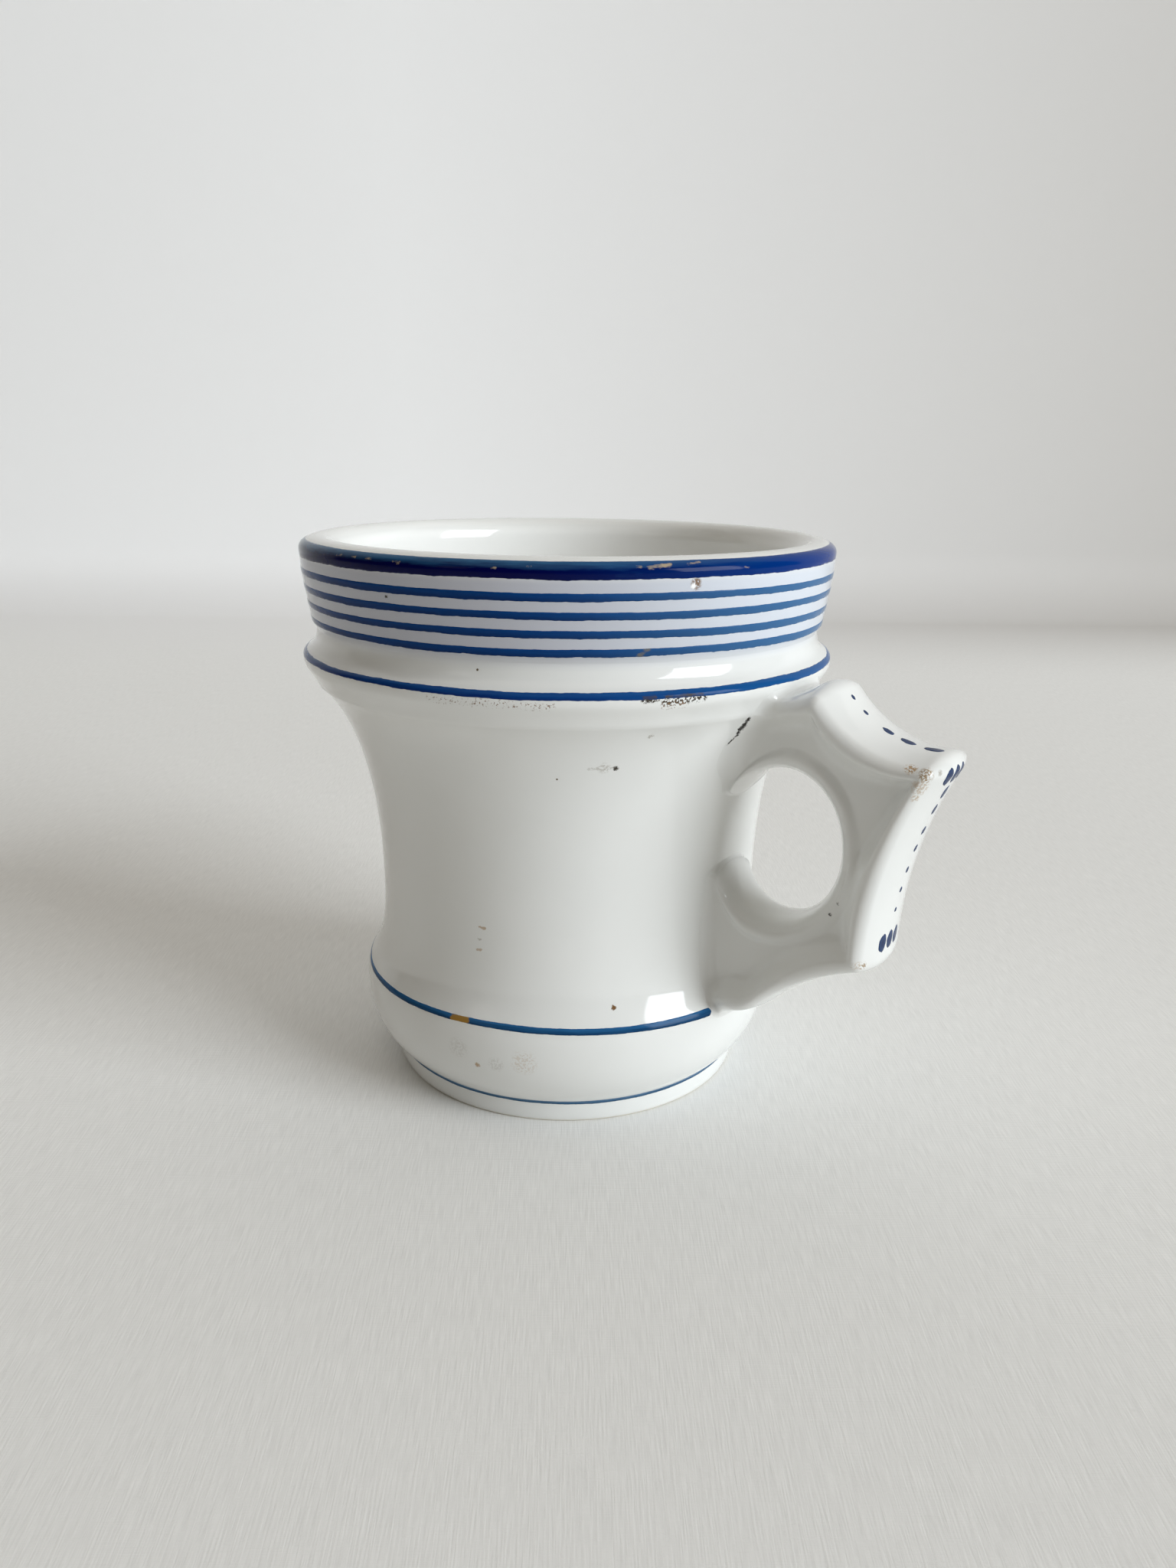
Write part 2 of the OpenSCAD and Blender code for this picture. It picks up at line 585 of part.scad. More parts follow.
module lower_corner_dots() {
  color(cobalt) for (i = [-1:1])
    dot(spine_arc, arc_len(spine_arc) - lower_strokes_in, i * stroke_pitch, stroke_l, stroke_w);
}

cup_body();
handle();
upper_slip_joint();
lower_slip_joint();
rim_band();
collar_line(1);  // collar_line_1
collar_line(2);  // collar_line_2
collar_line(3);  // collar_line_3
collar_line(4);  // collar_line_4
bead_line();
base_line();
foot_line();
handle_top_dots();
handle_spine_dots();
upper_corner_dots();
lower_corner_dots();
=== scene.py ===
import math

import bpy
import numpy as np
from mathutils import Matrix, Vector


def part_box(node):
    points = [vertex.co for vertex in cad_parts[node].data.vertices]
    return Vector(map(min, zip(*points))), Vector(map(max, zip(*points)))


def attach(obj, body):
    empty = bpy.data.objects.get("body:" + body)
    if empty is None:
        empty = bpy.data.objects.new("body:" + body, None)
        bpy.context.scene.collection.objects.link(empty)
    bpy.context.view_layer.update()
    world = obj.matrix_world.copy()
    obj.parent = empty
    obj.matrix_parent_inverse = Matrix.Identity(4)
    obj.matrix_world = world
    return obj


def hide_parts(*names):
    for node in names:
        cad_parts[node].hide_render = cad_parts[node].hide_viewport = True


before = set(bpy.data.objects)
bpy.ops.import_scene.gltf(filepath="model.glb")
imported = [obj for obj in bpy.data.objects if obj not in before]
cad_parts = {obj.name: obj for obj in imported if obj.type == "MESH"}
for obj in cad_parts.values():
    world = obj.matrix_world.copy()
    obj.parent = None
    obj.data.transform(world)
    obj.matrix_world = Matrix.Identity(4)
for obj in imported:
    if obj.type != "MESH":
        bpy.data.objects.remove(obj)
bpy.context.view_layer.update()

# Cup body: a thick porcelain vessel, jiggered in a mould and trued on the wheel, with a rolled lip, a collar,
# a neck groove, a bead, a waisted bell, a base swell and a foot ring. It was dipped in clear glaze and wiped
# bare where it stands in the kiln. Sizes are in millimetres and become metres in the mesh.
MM = 0.001
foot, crease, swell, waist = (29.5, 0), (30.3, 3.7), (35.15, 14.9), (31.75, 31)
bell, bead, neck, collar = (41.05, 67.1), (43.05, 71.3), (40.7, 75.9), (41.35, 77)
lip, crest, mouth = (42.85, 88.2), (39.65, 90), (36.75, 86.6)
inner_neck, inner_waist, floor = (35.7, 75.9), (27.05, 31), (0, 9)
recess, recess_edge, ring_inside = (0, 2.8), (23.3, 2.8), (26.1, 0)


def bend(start, end, leave, arrive, rows):
    """Cubic curve from start to end, which leaves and arrives along shares of the step, each a radius and a
    height: (1-t)^3 start + 3t(1-t)^2 a + 3t^2(1-t) b + t^3 end."""
    p, q = np.array(start, float), np.array(end, float)
    a, b = p + (q - p) * leave, q - (q - p) * arrive
    t = np.linspace(0, 1, rows, endpoint=False)[:, None]
    return p * (1 - t) ** 3 + 3 * a * t * (1 - t) ** 2 + 3 * b * t * t * (1 - t) + q * t ** 3


def outside(fine):
    """Outer profile from the table to the rim's crest, radius and height, with fine times as many rows."""
    return np.vstack([
        bend(foot, crease, (0.6, 0), (0, 0.6), 9 * fine),
        bend(crease, swell, (0.35, 0.16), (0, 0.61), 22 * fine),
        bend(swell, waist, (0, 0.34), (0, 0.8), 22 * fine),
        bend(waist, bell, (0, 0.52), (0.59, 0.14), 40 * fine),
        bend(bell, bead, (0.57, 0.63), (0, 0.36), 12 * fine),
        bend(bead, neck, (0, 0.35), (0, 0.81), 18 * fine),
        bend(neck, collar, (0, 0.1), (0.3, 0.3), 6 * fine),
        bend(collar, lip, (0.3, 0.23), (0, 0.28), 16 * fine),
        bend(lip, crest, (0, 0.55), (0.55, 0), 12 * fine),
        [crest],
    ])


def inside():
    """Inner profile from the rim's crest down to the middle of the floor."""
    return np.vstack([
        bend(crest, mouth, (0.55, 0), (0, 0.55), 12)[1:],
        bend(mouth, inner_neck, (0, 0.3), (0.5, 0.3), 12),
        bend(inner_neck, inner_waist, (0.12, 0.2), (0, 0.46), 34),
        bend(inner_waist, floor, (0.08, 0.8), (0.62, 0), 30),
        [floor],
    ])


def underside():
    """Profile under the cup, from the middle of the hollow to the flat ring that touches the table."""
    return np.vstack([
        bend(recess, recess_edge, (0.3, 0), (0.3, 0), 6),
        bend(recess_edge, ring_inside, (0.6, 0), (0, 0.6), 8),
        [ring_inside],
    ])


wall_line = outside(8)


def wall_radius(z):
    """Outer radius of the true profile at a height, read off the fine profile."""
    return np.interp(z, wall_line[:, 1], wall_line[:, 0])


def wall_tilt(z):
    """Outward direction of the wall at a height, as its share of radius and of height."""
    slope = (wall_radius(z + 0.1) - wall_radius(z - 0.1)) / 0.2
    return 1 / np.hypot(1, slope), -slope / np.hypot(1, slope)


# The viewer's right, as an angle about the cup's axis; the handle, at angle 0, comes towards the viewer
view_turn = math.radians(37.5)
# What makes the wall uneven, in mm: slow waves round the cup, faint turning rings up it, a collar set a hair
# to one side and a waist that is fuller on the other
slow_waves, turning_rings, collar_aside, waist_fuller = (0.04, 0.025), (0.012, 0.02), 0.14, 0.16


def unevenness(angle, z):
    """How far the wall departs from true at an angle and a height: sines for the waves and the rings, and
    cosines for what leans to one side."""
    waves = slow_waves[0] * np.sin(2 * angle + 0.6) + slow_waves[1] * np.sin(3 * angle - 1.1 + z / 19)
    rings = turning_rings[0] * np.sin(z / 1.3 + 0.8 * np.sin(angle)) + turning_rings[1] * np.sin(z / 4.1)
    to_right = np.cos(angle - view_turn)
    aside = -collar_aside * to_right * np.clip((z - 66) / 6, 0, 1)
    fuller = waist_fuller * (1 + to_right) * np.exp(-((z - 33) / 17) ** 4)
    return waves + rings + aside + fuller


def wall_point(angle, z, lift=0.0):
    """Point of the uneven outer wall at an angle and a height, lifted along the wall's outward direction."""
    out_r, out_z = wall_tilt(z)
    r = wall_radius(z) + unevenness(angle, z) + lift * out_r
    return np.stack([r * np.cos(angle), r * np.sin(angle), z + lift * out_z], -1)


def grid_faces(rows, cols, wrap_rows=False, flip=False):
    """Quads of a grid whose columns close up: each joins a point, the next column and the next row."""
    i = np.arange(rows if wrap_rows else rows - 1)[:, None]
    j = np.arange(cols)[None, :]
    up, on = (i + 1) % rows, (j + 1) % cols
    quads = np.stack([i * cols + j, i * cols + on, up * cols + on, up * cols + j], -1).reshape(-1, 4)
    return (quads[:, ::-1] if flip else quads).tolist()


def fan_faces(pole, first, count, flip=False):
    """Triangles from a pole to a ring of points: each joins the pole, a point and the next point."""
    j = first + np.arange(count)
    on = np.roll(j, -1)
    return np.stack([np.full(count, pole), *((on, j) if flip else (j, on))], -1).tolist()


def make_piece(name, points, faces, slot, *nodes):
    """A smooth mesh piece from points in millimetres, riding on the cup and standing for the named nodes."""
    mesh = bpy.data.meshes.new(name)
    mesh.from_pydata((points * MM).tolist(), [], faces)
    mesh.validate()
    mesh.shade_smooth()
    made = bpy.data.objects.new(name, mesh)
    bpy.context.scene.collection.objects.link(made)
    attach(made, "root")
    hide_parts(*nodes)
    return made


outer_rows, inner_rows, under_rows = outside(1), inside(), underside()
profile = np.vstack([under_rows, outer_rows, inner_rows])
outer_first, outer_last = len(under_rows), len(under_rows) + len(outer_rows)
turns = 352
angles = np.arange(turns) * 2 * np.pi / turns
rows = profile[1:-1]
row_no = np.arange(1, len(profile) - 1)
on_wall = ((row_no >= outer_first) & (row_no < outer_last)) * np.clip(rows[:, 1] / 2, 0, 1)
spread = rows[:, 0][:, None] + unevenness(angles[None, :], rows[:, 1][:, None]) * on_wall[:, None]
ring_points = np.stack([spread * np.cos(angles), spread * np.sin(angles),
                        np.broadcast_to(rows[:, 1][:, None], spread.shape)], -1).reshape(-1, 3)
body_points = np.vstack([ring_points, [[0, 0, recess[1]]], [[0, 0, floor[1]]]])
low_pole, high_pole = len(ring_points), len(ring_points) + 1
body_faces = grid_faces(len(rows), turns)
body_faces += fan_faces(low_pole, 0, turns, flip=True)
body_faces += fan_faces(high_pole, (len(rows) - 1) * turns, turns)
cup_body = make_piece("cup_body", body_points, body_faces, "porcelain", "cup_body")


def colour(code):
    """Linear red, green, blue and alpha of an sRGB hex colour."""
    parts = [int(code[i:i + 2], 16) / 255 for i in (1, 3, 5)]
    return [c / 12.92 if c <= 0.04045 else ((c + 0.055) / 1.055) ** 2.4 for c in parts] + [1]


def add(tree, kind, inputs={}, **settings):
    """Adds a node with its settings, links or sets its inputs; a node links by its first output in use."""
    made = tree.nodes.new(kind)
    for key, value in settings.items():
        setattr(made, key, value)
    for key, value in inputs.items():
        if isinstance(value, bpy.types.Node):
            value = next(output for output in value.outputs if output.enabled)
        if isinstance(value, bpy.types.NodeSocket):
            tree.links.new(value, made.inputs[key])
        else:
            made.inputs[key].default_value = value
    return made


def new_material(name):
    """An empty node material and its tree, ready for a surface."""
    made = bpy.data.materials.new(name)
    made.use_nodes = True
    made.node_tree.nodes.clear()
    return made, made.node_tree


# A knock on the lip pressed the marks round it deeper into the glaze: its place and the depth of its dips
knock_angle, knock_z, knock_deep = math.radians(-30), 87.6, (0.5, 0.3)


def on_cup(angle_deg, z):
    """Place on the cup's outer wall, in metres for a shader, sunk by two bell curves round the knock."""
    angle = math.radians(angle_deg)
    across = (angle - knock_angle) * lip[0]
    sunk = knock_deep[0] * math.exp(-((across - 0.4) / 1.7) ** 2 - ((z - knock_z) / 1.1) ** 2)
    sunk += knock_deep[1] * math.exp(-((across - 4) / 2.6) ** 2 - ((z - knock_z - 0.6) / 1.2) ** 2)
    outward = np.array([math.cos(angle), math.sin(angle), 0])
    return ((wall_point(angle, np.float64(z)) - sunk * outward) * MM).tolist()


def near_run(tree, place, start, end, half, core, strength):
    """How near a place is to the line from start to end: strength within the core's share of the half width
    in mm, falling to none at the half width."""
    run = [b - a for a, b in zip(start, end)]
    share = [c / sum(d * d for d in run) for c in run]
    from_start = add(tree, "ShaderNodeVectorMath", {0: place, 1: start}, operation="SUBTRACT")
    along = add(tree, "ShaderNodeVectorMath", {0: from_start, 1: share}, operation="DOT_PRODUCT")
    held = add(tree, "ShaderNodeClamp", {"Value": along})
    nearest = add(tree, "ShaderNodeVectorMath", {0: run, "Scale": held}, operation="SCALE")
    far = add(tree, "ShaderNodeVectorMath", {0: from_start, 1: nearest}, operation="DISTANCE")
    return add(tree, "ShaderNodeMapRange", {"Value": far, "From Min": half * MM, "From Max": half * MM * core,
                                            "To Max": strength})


# Where each of the body's tones starts and is full, as heights, radii or places to the right in mm. The
# wash holds painted shade and the whiter inside is painted light.
shaded_wash_low, shaded_wash_high, shaded_wash_out, shaded_wash_across = (74.6, 77.6), (88.5, 86.5), (38.4, 39), (-12, 36)
# Radii and heights of the whiter inside glaze, which is painted light, and heights of the bare foot
lit_inside_radii, lit_inside_heights, bare_down = (37.4, 36.9), (74, 78), (0.5, 0.15)
# The lit side: the viewer's right, towards the window. Painted shade fades and painted sheen grows along it.
lit_side = (math.cos(view_turn), math.sin(view_turn), 0)


def body_tones(tree, place, tone):
    """Tones that only the body has: a blue-grey wash of cobalt in the glaze between the painted lines,
    outside the cup, with painted shade in it that makes it greyer on the left and lighter towards the lit
    right side; a whiter glaze inside, which is painted light; and the ring that stands in the kiln, wiped
    bare to a dull, warmer clay. Gives back the tone and how bare the clay is."""
    up = add(tree, "ShaderNodeSeparateXYZ", {0: place}).outputs["Z"]
    level = add(tree, "ShaderNodeVectorMath", {0: place, 1: (1, 1, 0)}, operation="MULTIPLY")
    out = add(tree, "ShaderNodeVectorMath", {0: level}, operation="LENGTH")
    right = add(tree, "ShaderNodeVectorMath", {0: place, 1: lit_side}, operation="DOT_PRODUCT")
    low_side, top_side, towards_lit_side, outer, inner, deep_in, bare = [
        add(tree, "ShaderNodeMapRange", {"Value": value, "From Min": start * MM, "From Max": full * MM},
            interpolation_type=how)
        for how, value, (start, full) in (
            ("SMOOTHSTEP", up, shaded_wash_low), ("SMOOTHSTEP", up, shaded_wash_high), ("SMOOTHSTEP", right, shaded_wash_across),
            ("LINEAR", out, shaded_wash_out), ("LINEAR", out, lit_inside_radii), ("LINEAR", up, lit_inside_heights),
            ("LINEAR", up, bare_down))
    ]
    in_shaded_wash = add(tree, "ShaderNodeMath", {0: low_side, 1: top_side}, operation="MULTIPLY")
    in_shaded_wash = add(tree, "ShaderNodeMath", {0: in_shaded_wash, 1: outer}, operation="MULTIPLY")
    lit_inside = add(tree, "ShaderNodeMath", {0: inner, 1: deep_in}, operation="MULTIPLY")
    # Painted shade: the wash is greyer on the left and lighter towards the lit right side
    shaded_wash = add(tree, "ShaderNodeMix", {"Factor": towards_lit_side, "A": colour("#bdbfc8"), "B": colour("#d8dee7")},
               data_type="RGBA")
    # The whiter inside glaze is painted light; the bare foot is the clay's own colour
    for amount, over in ((lit_inside, colour("#f9f9f6")), (in_shaded_wash, shaded_wash), (bare, colour("#dcd6c8"))):
        tone = add(tree, "ShaderNodeMix", {"Factor": amount, "A": tone, "B": over}, data_type="RGBA")
    return tone, bare


def glazed_porcelain(name, marks, streaks, is_body=False):
    """Hard-paste porcelain, dipped in a clear feldspar glaze and fired: a cool white, a gloss with a faint
    orange-peel ripple, and pin-prick iron specks. A mark is a place, its reach in mm, how strong it is, its
    colour and how much of it is left out as gaps between grains; a streak has a start and an end instead."""
    made, tree = new_material(name)
    place = add(tree, "ShaderNodeTexCoord").outputs["Object"]
    cloud = add(tree, "ShaderNodeTexNoise", {"Vector": place, "Scale": 1 / (18 * MM), "Detail": 3})
    tone = add(tree, "ShaderNodeMix", {"Factor": cloud, "A": colour("#eeeeeb"), "B": colour("#e7e8e5")},
               data_type="RGBA")
    rough = add(tree, "ShaderNodeMapRange", {"Value": cloud, "To Min": 0.05, "To Max": 0.12})
    if is_body:
        tone, bare = body_tones(tree, place, tone)
        rough = add(tree, "ShaderNodeMath", {0: bare, 1: 0.5, 2: rough}, operation="MULTIPLY_ADD")
    # Iron specks: one in each cell of about 7 mm, of which only a few show
    cell = add(tree, "ShaderNodeTexVoronoi", {"Vector": place, "Scale": 1 / (7 * MM)})
    pick = add(tree, "ShaderNodeSeparateColor", {"Color": cell.outputs["Color"]})
    size = add(tree, "ShaderNodeMapRange", {"Value": pick, "From Min": 0.8, "From Max": 1, "To Max": 0.035})
    speck = add(tree, "ShaderNodeMath", {0: cell, 1: size}, operation="LESS_THAN")
    tone = add(tree, "ShaderNodeMix", {"Factor": speck, "A": tone, "B": colour("#6d5f4d")}, data_type="RGBA")
    # Grains a third of a millimetre across, which also fray the edges of marks and streaks
    fine = add(tree, "ShaderNodeTexNoise", {"Vector": place, "Scale": 1 / (0.34 * MM), "Detail": 3,
                                            "Roughness": 0.6})
    shift = add(tree, "ShaderNodeVectorMath", {0: fine.outputs["Color"], 1: (0.5, 0.5, 0.5)},
                operation="SUBTRACT")
    wander = add(tree, "ShaderNodeVectorMath", {0: shift, "Scale": 0.7 * MM}, operation="SCALE")
    frayed = add(tree, "ShaderNodeVectorMath", {0: place, 1: wander}, operation="ADD")
    mark_core, streak_core = 0.55, 0.5
    stains = []
    for centre, reach, strength, hue, grain in marks:
        far = add(tree, "ShaderNodeVectorMath", {0: frayed, 1: centre}, operation="DISTANCE")
        near = add(tree, "ShaderNodeMapRange", {"Value": far, "From Min": reach * MM,
                                                "From Max": reach * MM * mark_core, "To Max": strength})
        stains.append((near, hue, grain))
    for start, end, half, strength, hue, grain in streaks:
        stains.append((near_run(tree, frayed, start, end, half, streak_core, strength), hue, grain))
    for near, hue, grain in stains:
        kept = add(tree, "ShaderNodeMath", {0: fine, 1: grain}, operation="GREATER_THAN")
        amount = add(tree, "ShaderNodeMath", {0: near, 1: kept}, operation="MULTIPLY")
        tone = add(tree, "ShaderNodeMix", {"Factor": amount, "A": tone, "B": colour(hue)}, data_type="RGBA")
    peel = add(tree, "ShaderNodeTexNoise", {"Vector": place, "Scale": 1 / (4 * MM), "Detail": 1})
    ripple = add(tree, "ShaderNodeBump", {"Height": peel, "Strength": 0.25, "Distance": 0.02 * MM})
    surface = add(tree, "ShaderNodeBsdfPrincipled", {"Base Color": tone, "Roughness": rough, "Normal": ripple,
                                                     "IOR": 1.5})
    add(tree, "ShaderNodeOutputMaterial", {"Surface": surface})
    return made


rust, soot, tan, ash = "#7a5a3a", "#3b342b", "#b08d5e", "#a9a398"
body_marks = [
    # A rust-brown chip in the lip, and under it a white mark that is a painted glint on the chip's edge
    (on_cup(-29.4, 86.6), 1, 0.9, rust, 0.44), (on_cup(-29.9, 86.3), 0.5, 1, "#ffffff", 0.3),
    (on_cup(-41.9, 60.25), 0.5, 1, soot, 0.3), (on_cup(-44.5, 60.4), 1.1, 0.5, ash, 0.5),
    (on_cup(-35.7, 65.4), 0.6, 0.7, ash, 0.5), (on_cup(-88.2, 83.9), 0.3, 1, soot, 0.2),
    (on_cup(-39.9, 21.3), 0.45, 1, rust, 0.35), (on_cup(-75.8, 11.3), 0.5, 0.8, tan, 0.3),
    (on_cup(-63, 13), 2.4, 0.25, tan, 0.52), (on_cup(-70.5, 12.1), 1.5, 0.25, ash, 0.5),
    (on_cup(-81, 13.6), 2, 0.2, ash, 0.5),
]
# Grit that the turning brush dragged along under the bead line, in runs, and short scratches low on the body
body_streaks = [
    (on_cup(-78.5, 70.7), on_cup(-70, 70.6), 0.7, 0.75, rust, 0.6),
    (on_cup(-69, 70.8), on_cup(-55.5, 70.6), 0.8, 0.8, rust, 0.59),
    (on_cup(-38.9, 71.4), on_cup(-36.6, 71.4), 0.6, 1, soot, 0.46),
    (on_cup(-34.8, 71), on_cup(-27.2, 71.3), 0.75, 1, soot, 0.5),
    (on_cup(-35, 70.4), on_cup(-31, 70.5), 0.7, 0.9, rust, 0.56),
    (on_cup(-47.8, 60.3), on_cup(-42.5, 60.3), 0.3, 0.45, ash, 0.45),
    (on_cup(-77.3, 33.1), on_cup(-75.5, 33), 0.25, 0.7, tan, 0.3),
    (on_cup(-77.6, 31), on_cup(-76.9, 31.1), 0.2, 0.6, ash, 0.3),
    (on_cup(-78.1, 29.3), on_cup(-76.9, 29.4), 0.25, 0.6, tan, 0.35),
]
body_glaze = glazed_porcelain("glazed_porcelain_body", body_marks, body_streaks, is_body=True)
cup_body.data.materials.append(body_glaze)

# Handle: a knuckle handle cast by itself in a plaster mould, with hollow sides between rounded corners, a
# leaning oval finger hole with a roll round it and a crowned spine. Its ends are cut to the cup's wall and
# stuck on with slip, wiped round with a wet finger, which leaves a soft hollow all round each joint.
handle_w, handle_crown, joint_crown, web_w = 15.4, 1.6, 0.7, 9.4
roll_w, roll_round, roll_run = 10.6, 2.6, 1.8
edge_round, edge_turn = 1.3, math.radians(48)
hole_w, hole_h, hole_lean, hole_bite = 19.8, 23.6, math.radians(13), 0.8
seat_top_z, seat_low_z, seat_gap = 69.6, 17.2, 0.3
hole_z = (seat_top_z + seat_low_z) / 2 + 3
hole_middle = np.array([wall_radius(hole_z) + 0.4 - hole_bite + hole_w / 2, hole_z])
corners = np.array([
    [wall_radius(seat_top_z) + seat_gap, seat_top_z],
    [bead[0] + 5.95, bead[1] + 1.6],
    [waist[0] + 37.4, bead[1] - 6.5],
    [waist[0] + 27.9, waist[1] - 0.5],
    [swell[0] + 6.15, swell[1] + 4],
    [wall_radius(seat_low_z) + seat_gap, seat_low_z],
])
hollows = np.array([0.4, 3.8, 2.4, 1.6, 0.15])
corner_rounds = [2.6, 2.1, 2.6, 9]
upper_joint_w, lower_joint_w, joint_run = 14.4, 10.8, 6
upper_wipe, lower_wipe, roll_wipe, ledge_wipe = 3.2, 1.9, 0.8, 1.8
hole_clear_top, hole_clear_low = 0.3, 0.9

# Each side of the outline is an arc that sags between two corners, with its centre outside the handle
steps = np.diff(corners, axis=0)
chords = np.hypot(steps[:, 0], steps[:, 1])
side_radii = chords ** 2 / (8 * hollows) + hollows / 2
square_to = np.stack([-steps[:, 1], steps[:, 0]], -1) / chords[:, None]
side_centres = (corners[:-1] + corners[1:]) / 2 + square_to * (side_radii - hollows)[:, None]


def round_between(k, radius):
    """Centre of the corner arc that touches sides k and k + 1: where circles grown by its radius cross, on
    the finger hole's side."""
    a, b = side_centres[k], side_centres[k + 1]
    ra, rb = side_radii[k] + radius, side_radii[k + 1] + radius
    step = b - a
    far = np.hypot(*step)
    along = (far ** 2 + ra ** 2 - rb ** 2) / (2 * far)
    aside = math.sqrt(ra ** 2 - along ** 2)
    square = np.array([-step[1], step[0]]) / far
    ways = [a + step * along / far + square * s * aside for s in (1, -1)]
    return min(ways, key=lambda p: np.hypot(*(p - hole_middle)))


def outline_arcs():
    """Arcs of the outline in order, side, corner, side: centre, radius, first angle, sweep, +1 if hollow."""
    rounds = [round_between(k, r) for k, r in enumerate(corner_rounds)]
    arcs = []

    def angle_to(centre, point):
        return math.atan2(point[1] - centre[1], point[0] - centre[0])

    def arc(centre, radius, start, end, hollow):
        first = angle_to(centre, start)
        sweep = (angle_to(centre, end) - first + math.pi) % (2 * math.pi) - math.pi
        arcs.append((*centre, radius, first, sweep, hollow))

    def touch(k, c):
        toward = rounds[c] - side_centres[k]
        return side_centres[k] + toward * side_radii[k] / np.hypot(*toward)

    for k in range(len(hollows)):
        start = corners[0] if k == 0 else touch(k, k - 1)
        end = corners[-1] if k == len(hollows) - 1 else touch(k, k)
        arc(side_centres[k], side_radii[k], start, end, 1)
        if k < len(rounds):
            arc(rounds[k], corner_rounds[k], touch(k, k), touch(k + 1, k), -1)
    return np.array(arcs)


arcs = outline_arcs()
arc_lengths = arcs[:, 2] * np.abs(arcs[:, 4])
arc_starts = np.concatenate([[0], np.cumsum(arc_lengths)])
top_arc, spine_arc, under_arc = 2, 4, 6


def outline(s):
    """Point and outward direction of the outline at a length s along it, and how much the face is crowned."""
    k = np.clip(np.searchsorted(arc_starts, s, side="right") - 1, 0, len(arcs) - 1)
    f = (s - arc_starts[k]) / arc_lengths[k]
    cx, cz, radius, first, sweep, hollow = arcs[k].T if np.ndim(k) == 1 else np.moveaxis(arcs[k], -1, 0)
    a = first + sweep * f
    spoke = np.stack([np.cos(a), np.sin(a)], -1)
    point = np.stack([cx, cz], -1) + radius[..., None] * spoke
    fade = np.where(k == 0, 1 - f, np.clip((k - under_arc + f) / (len(arcs) - under_arc), 0, 1))
    return point, -hollow[..., None] * spoke, handle_crown + (joint_crown - handle_crown) * fade


def handle_face(s, y, lift=0.0):
    """Point of the crowned outer face: the outline's point, let in by crown times (2y / width) squared."""
    p, n, crowned = outline(s)
    q = p - n * (crowned * (2 * y / handle_w) ** 2 - lift)[..., None]
    return np.stack([q[..., 0], y, q[..., 1]], -1)


def hole_point(a):
    """Point of the finger hole at an angle: an ellipse that leans over towards the spine."""
    x, z = hole_w / 2 * np.cos(a), hole_h / 2 * np.sin(a)
    c, s = math.cos(hole_lean), math.sin(hole_lean)
    return hole_middle + np.stack([x * c + z * s, z * c - x * s], -1)


def hole_end(a, clear):
    """Last of a run of angles at which the finger hole is still clear of the cup's wall."""
    p = hole_point(a)
    return a[np.nonzero(p[:, 0] > wall_radius(p[:, 1]) + clear)[0][-1]]


def spoke_angles():
    """Angle of the hole that goes with the start of each arc of the outline, and with its end."""
    p = outline(arc_starts[1:-1])[0] - hole_middle
    c, s = math.cos(hole_lean), math.sin(hole_lean)
    x, z = p[:, 0] * c - p[:, 1] * s, p[:, 1] * c + p[:, 0] * s
    search = np.radians(np.linspace(80, 180, 4001))
    ends = [hole_end(search, hole_clear_top)], [hole_end(-search, hole_clear_low)]
    return np.concatenate([ends[0], np.arctan2(z / hole_h, x / hole_w), ends[1]])


def face_x(z, y):
    """Distance along the handle's plane to the cup's wall at a height and a place across."""
    return np.sqrt(wall_radius(z) ** 2 - y ** 2)


# How far apart the sections stand along the outline, and how many rows each stretch of a section has
ring_gap, roll_rows, web_rows, edge_rows, crown_rows, closing_rows = 0.36, 16, 36, 14, 16, 30
s_rings = np.concatenate([np.linspace(a, b, max(5, int((b - a) / ring_gap)), endpoint=False)
                          for a, b in zip(arc_starts[:-1], arc_starts[1:])] + [arc_starts[-1:]])


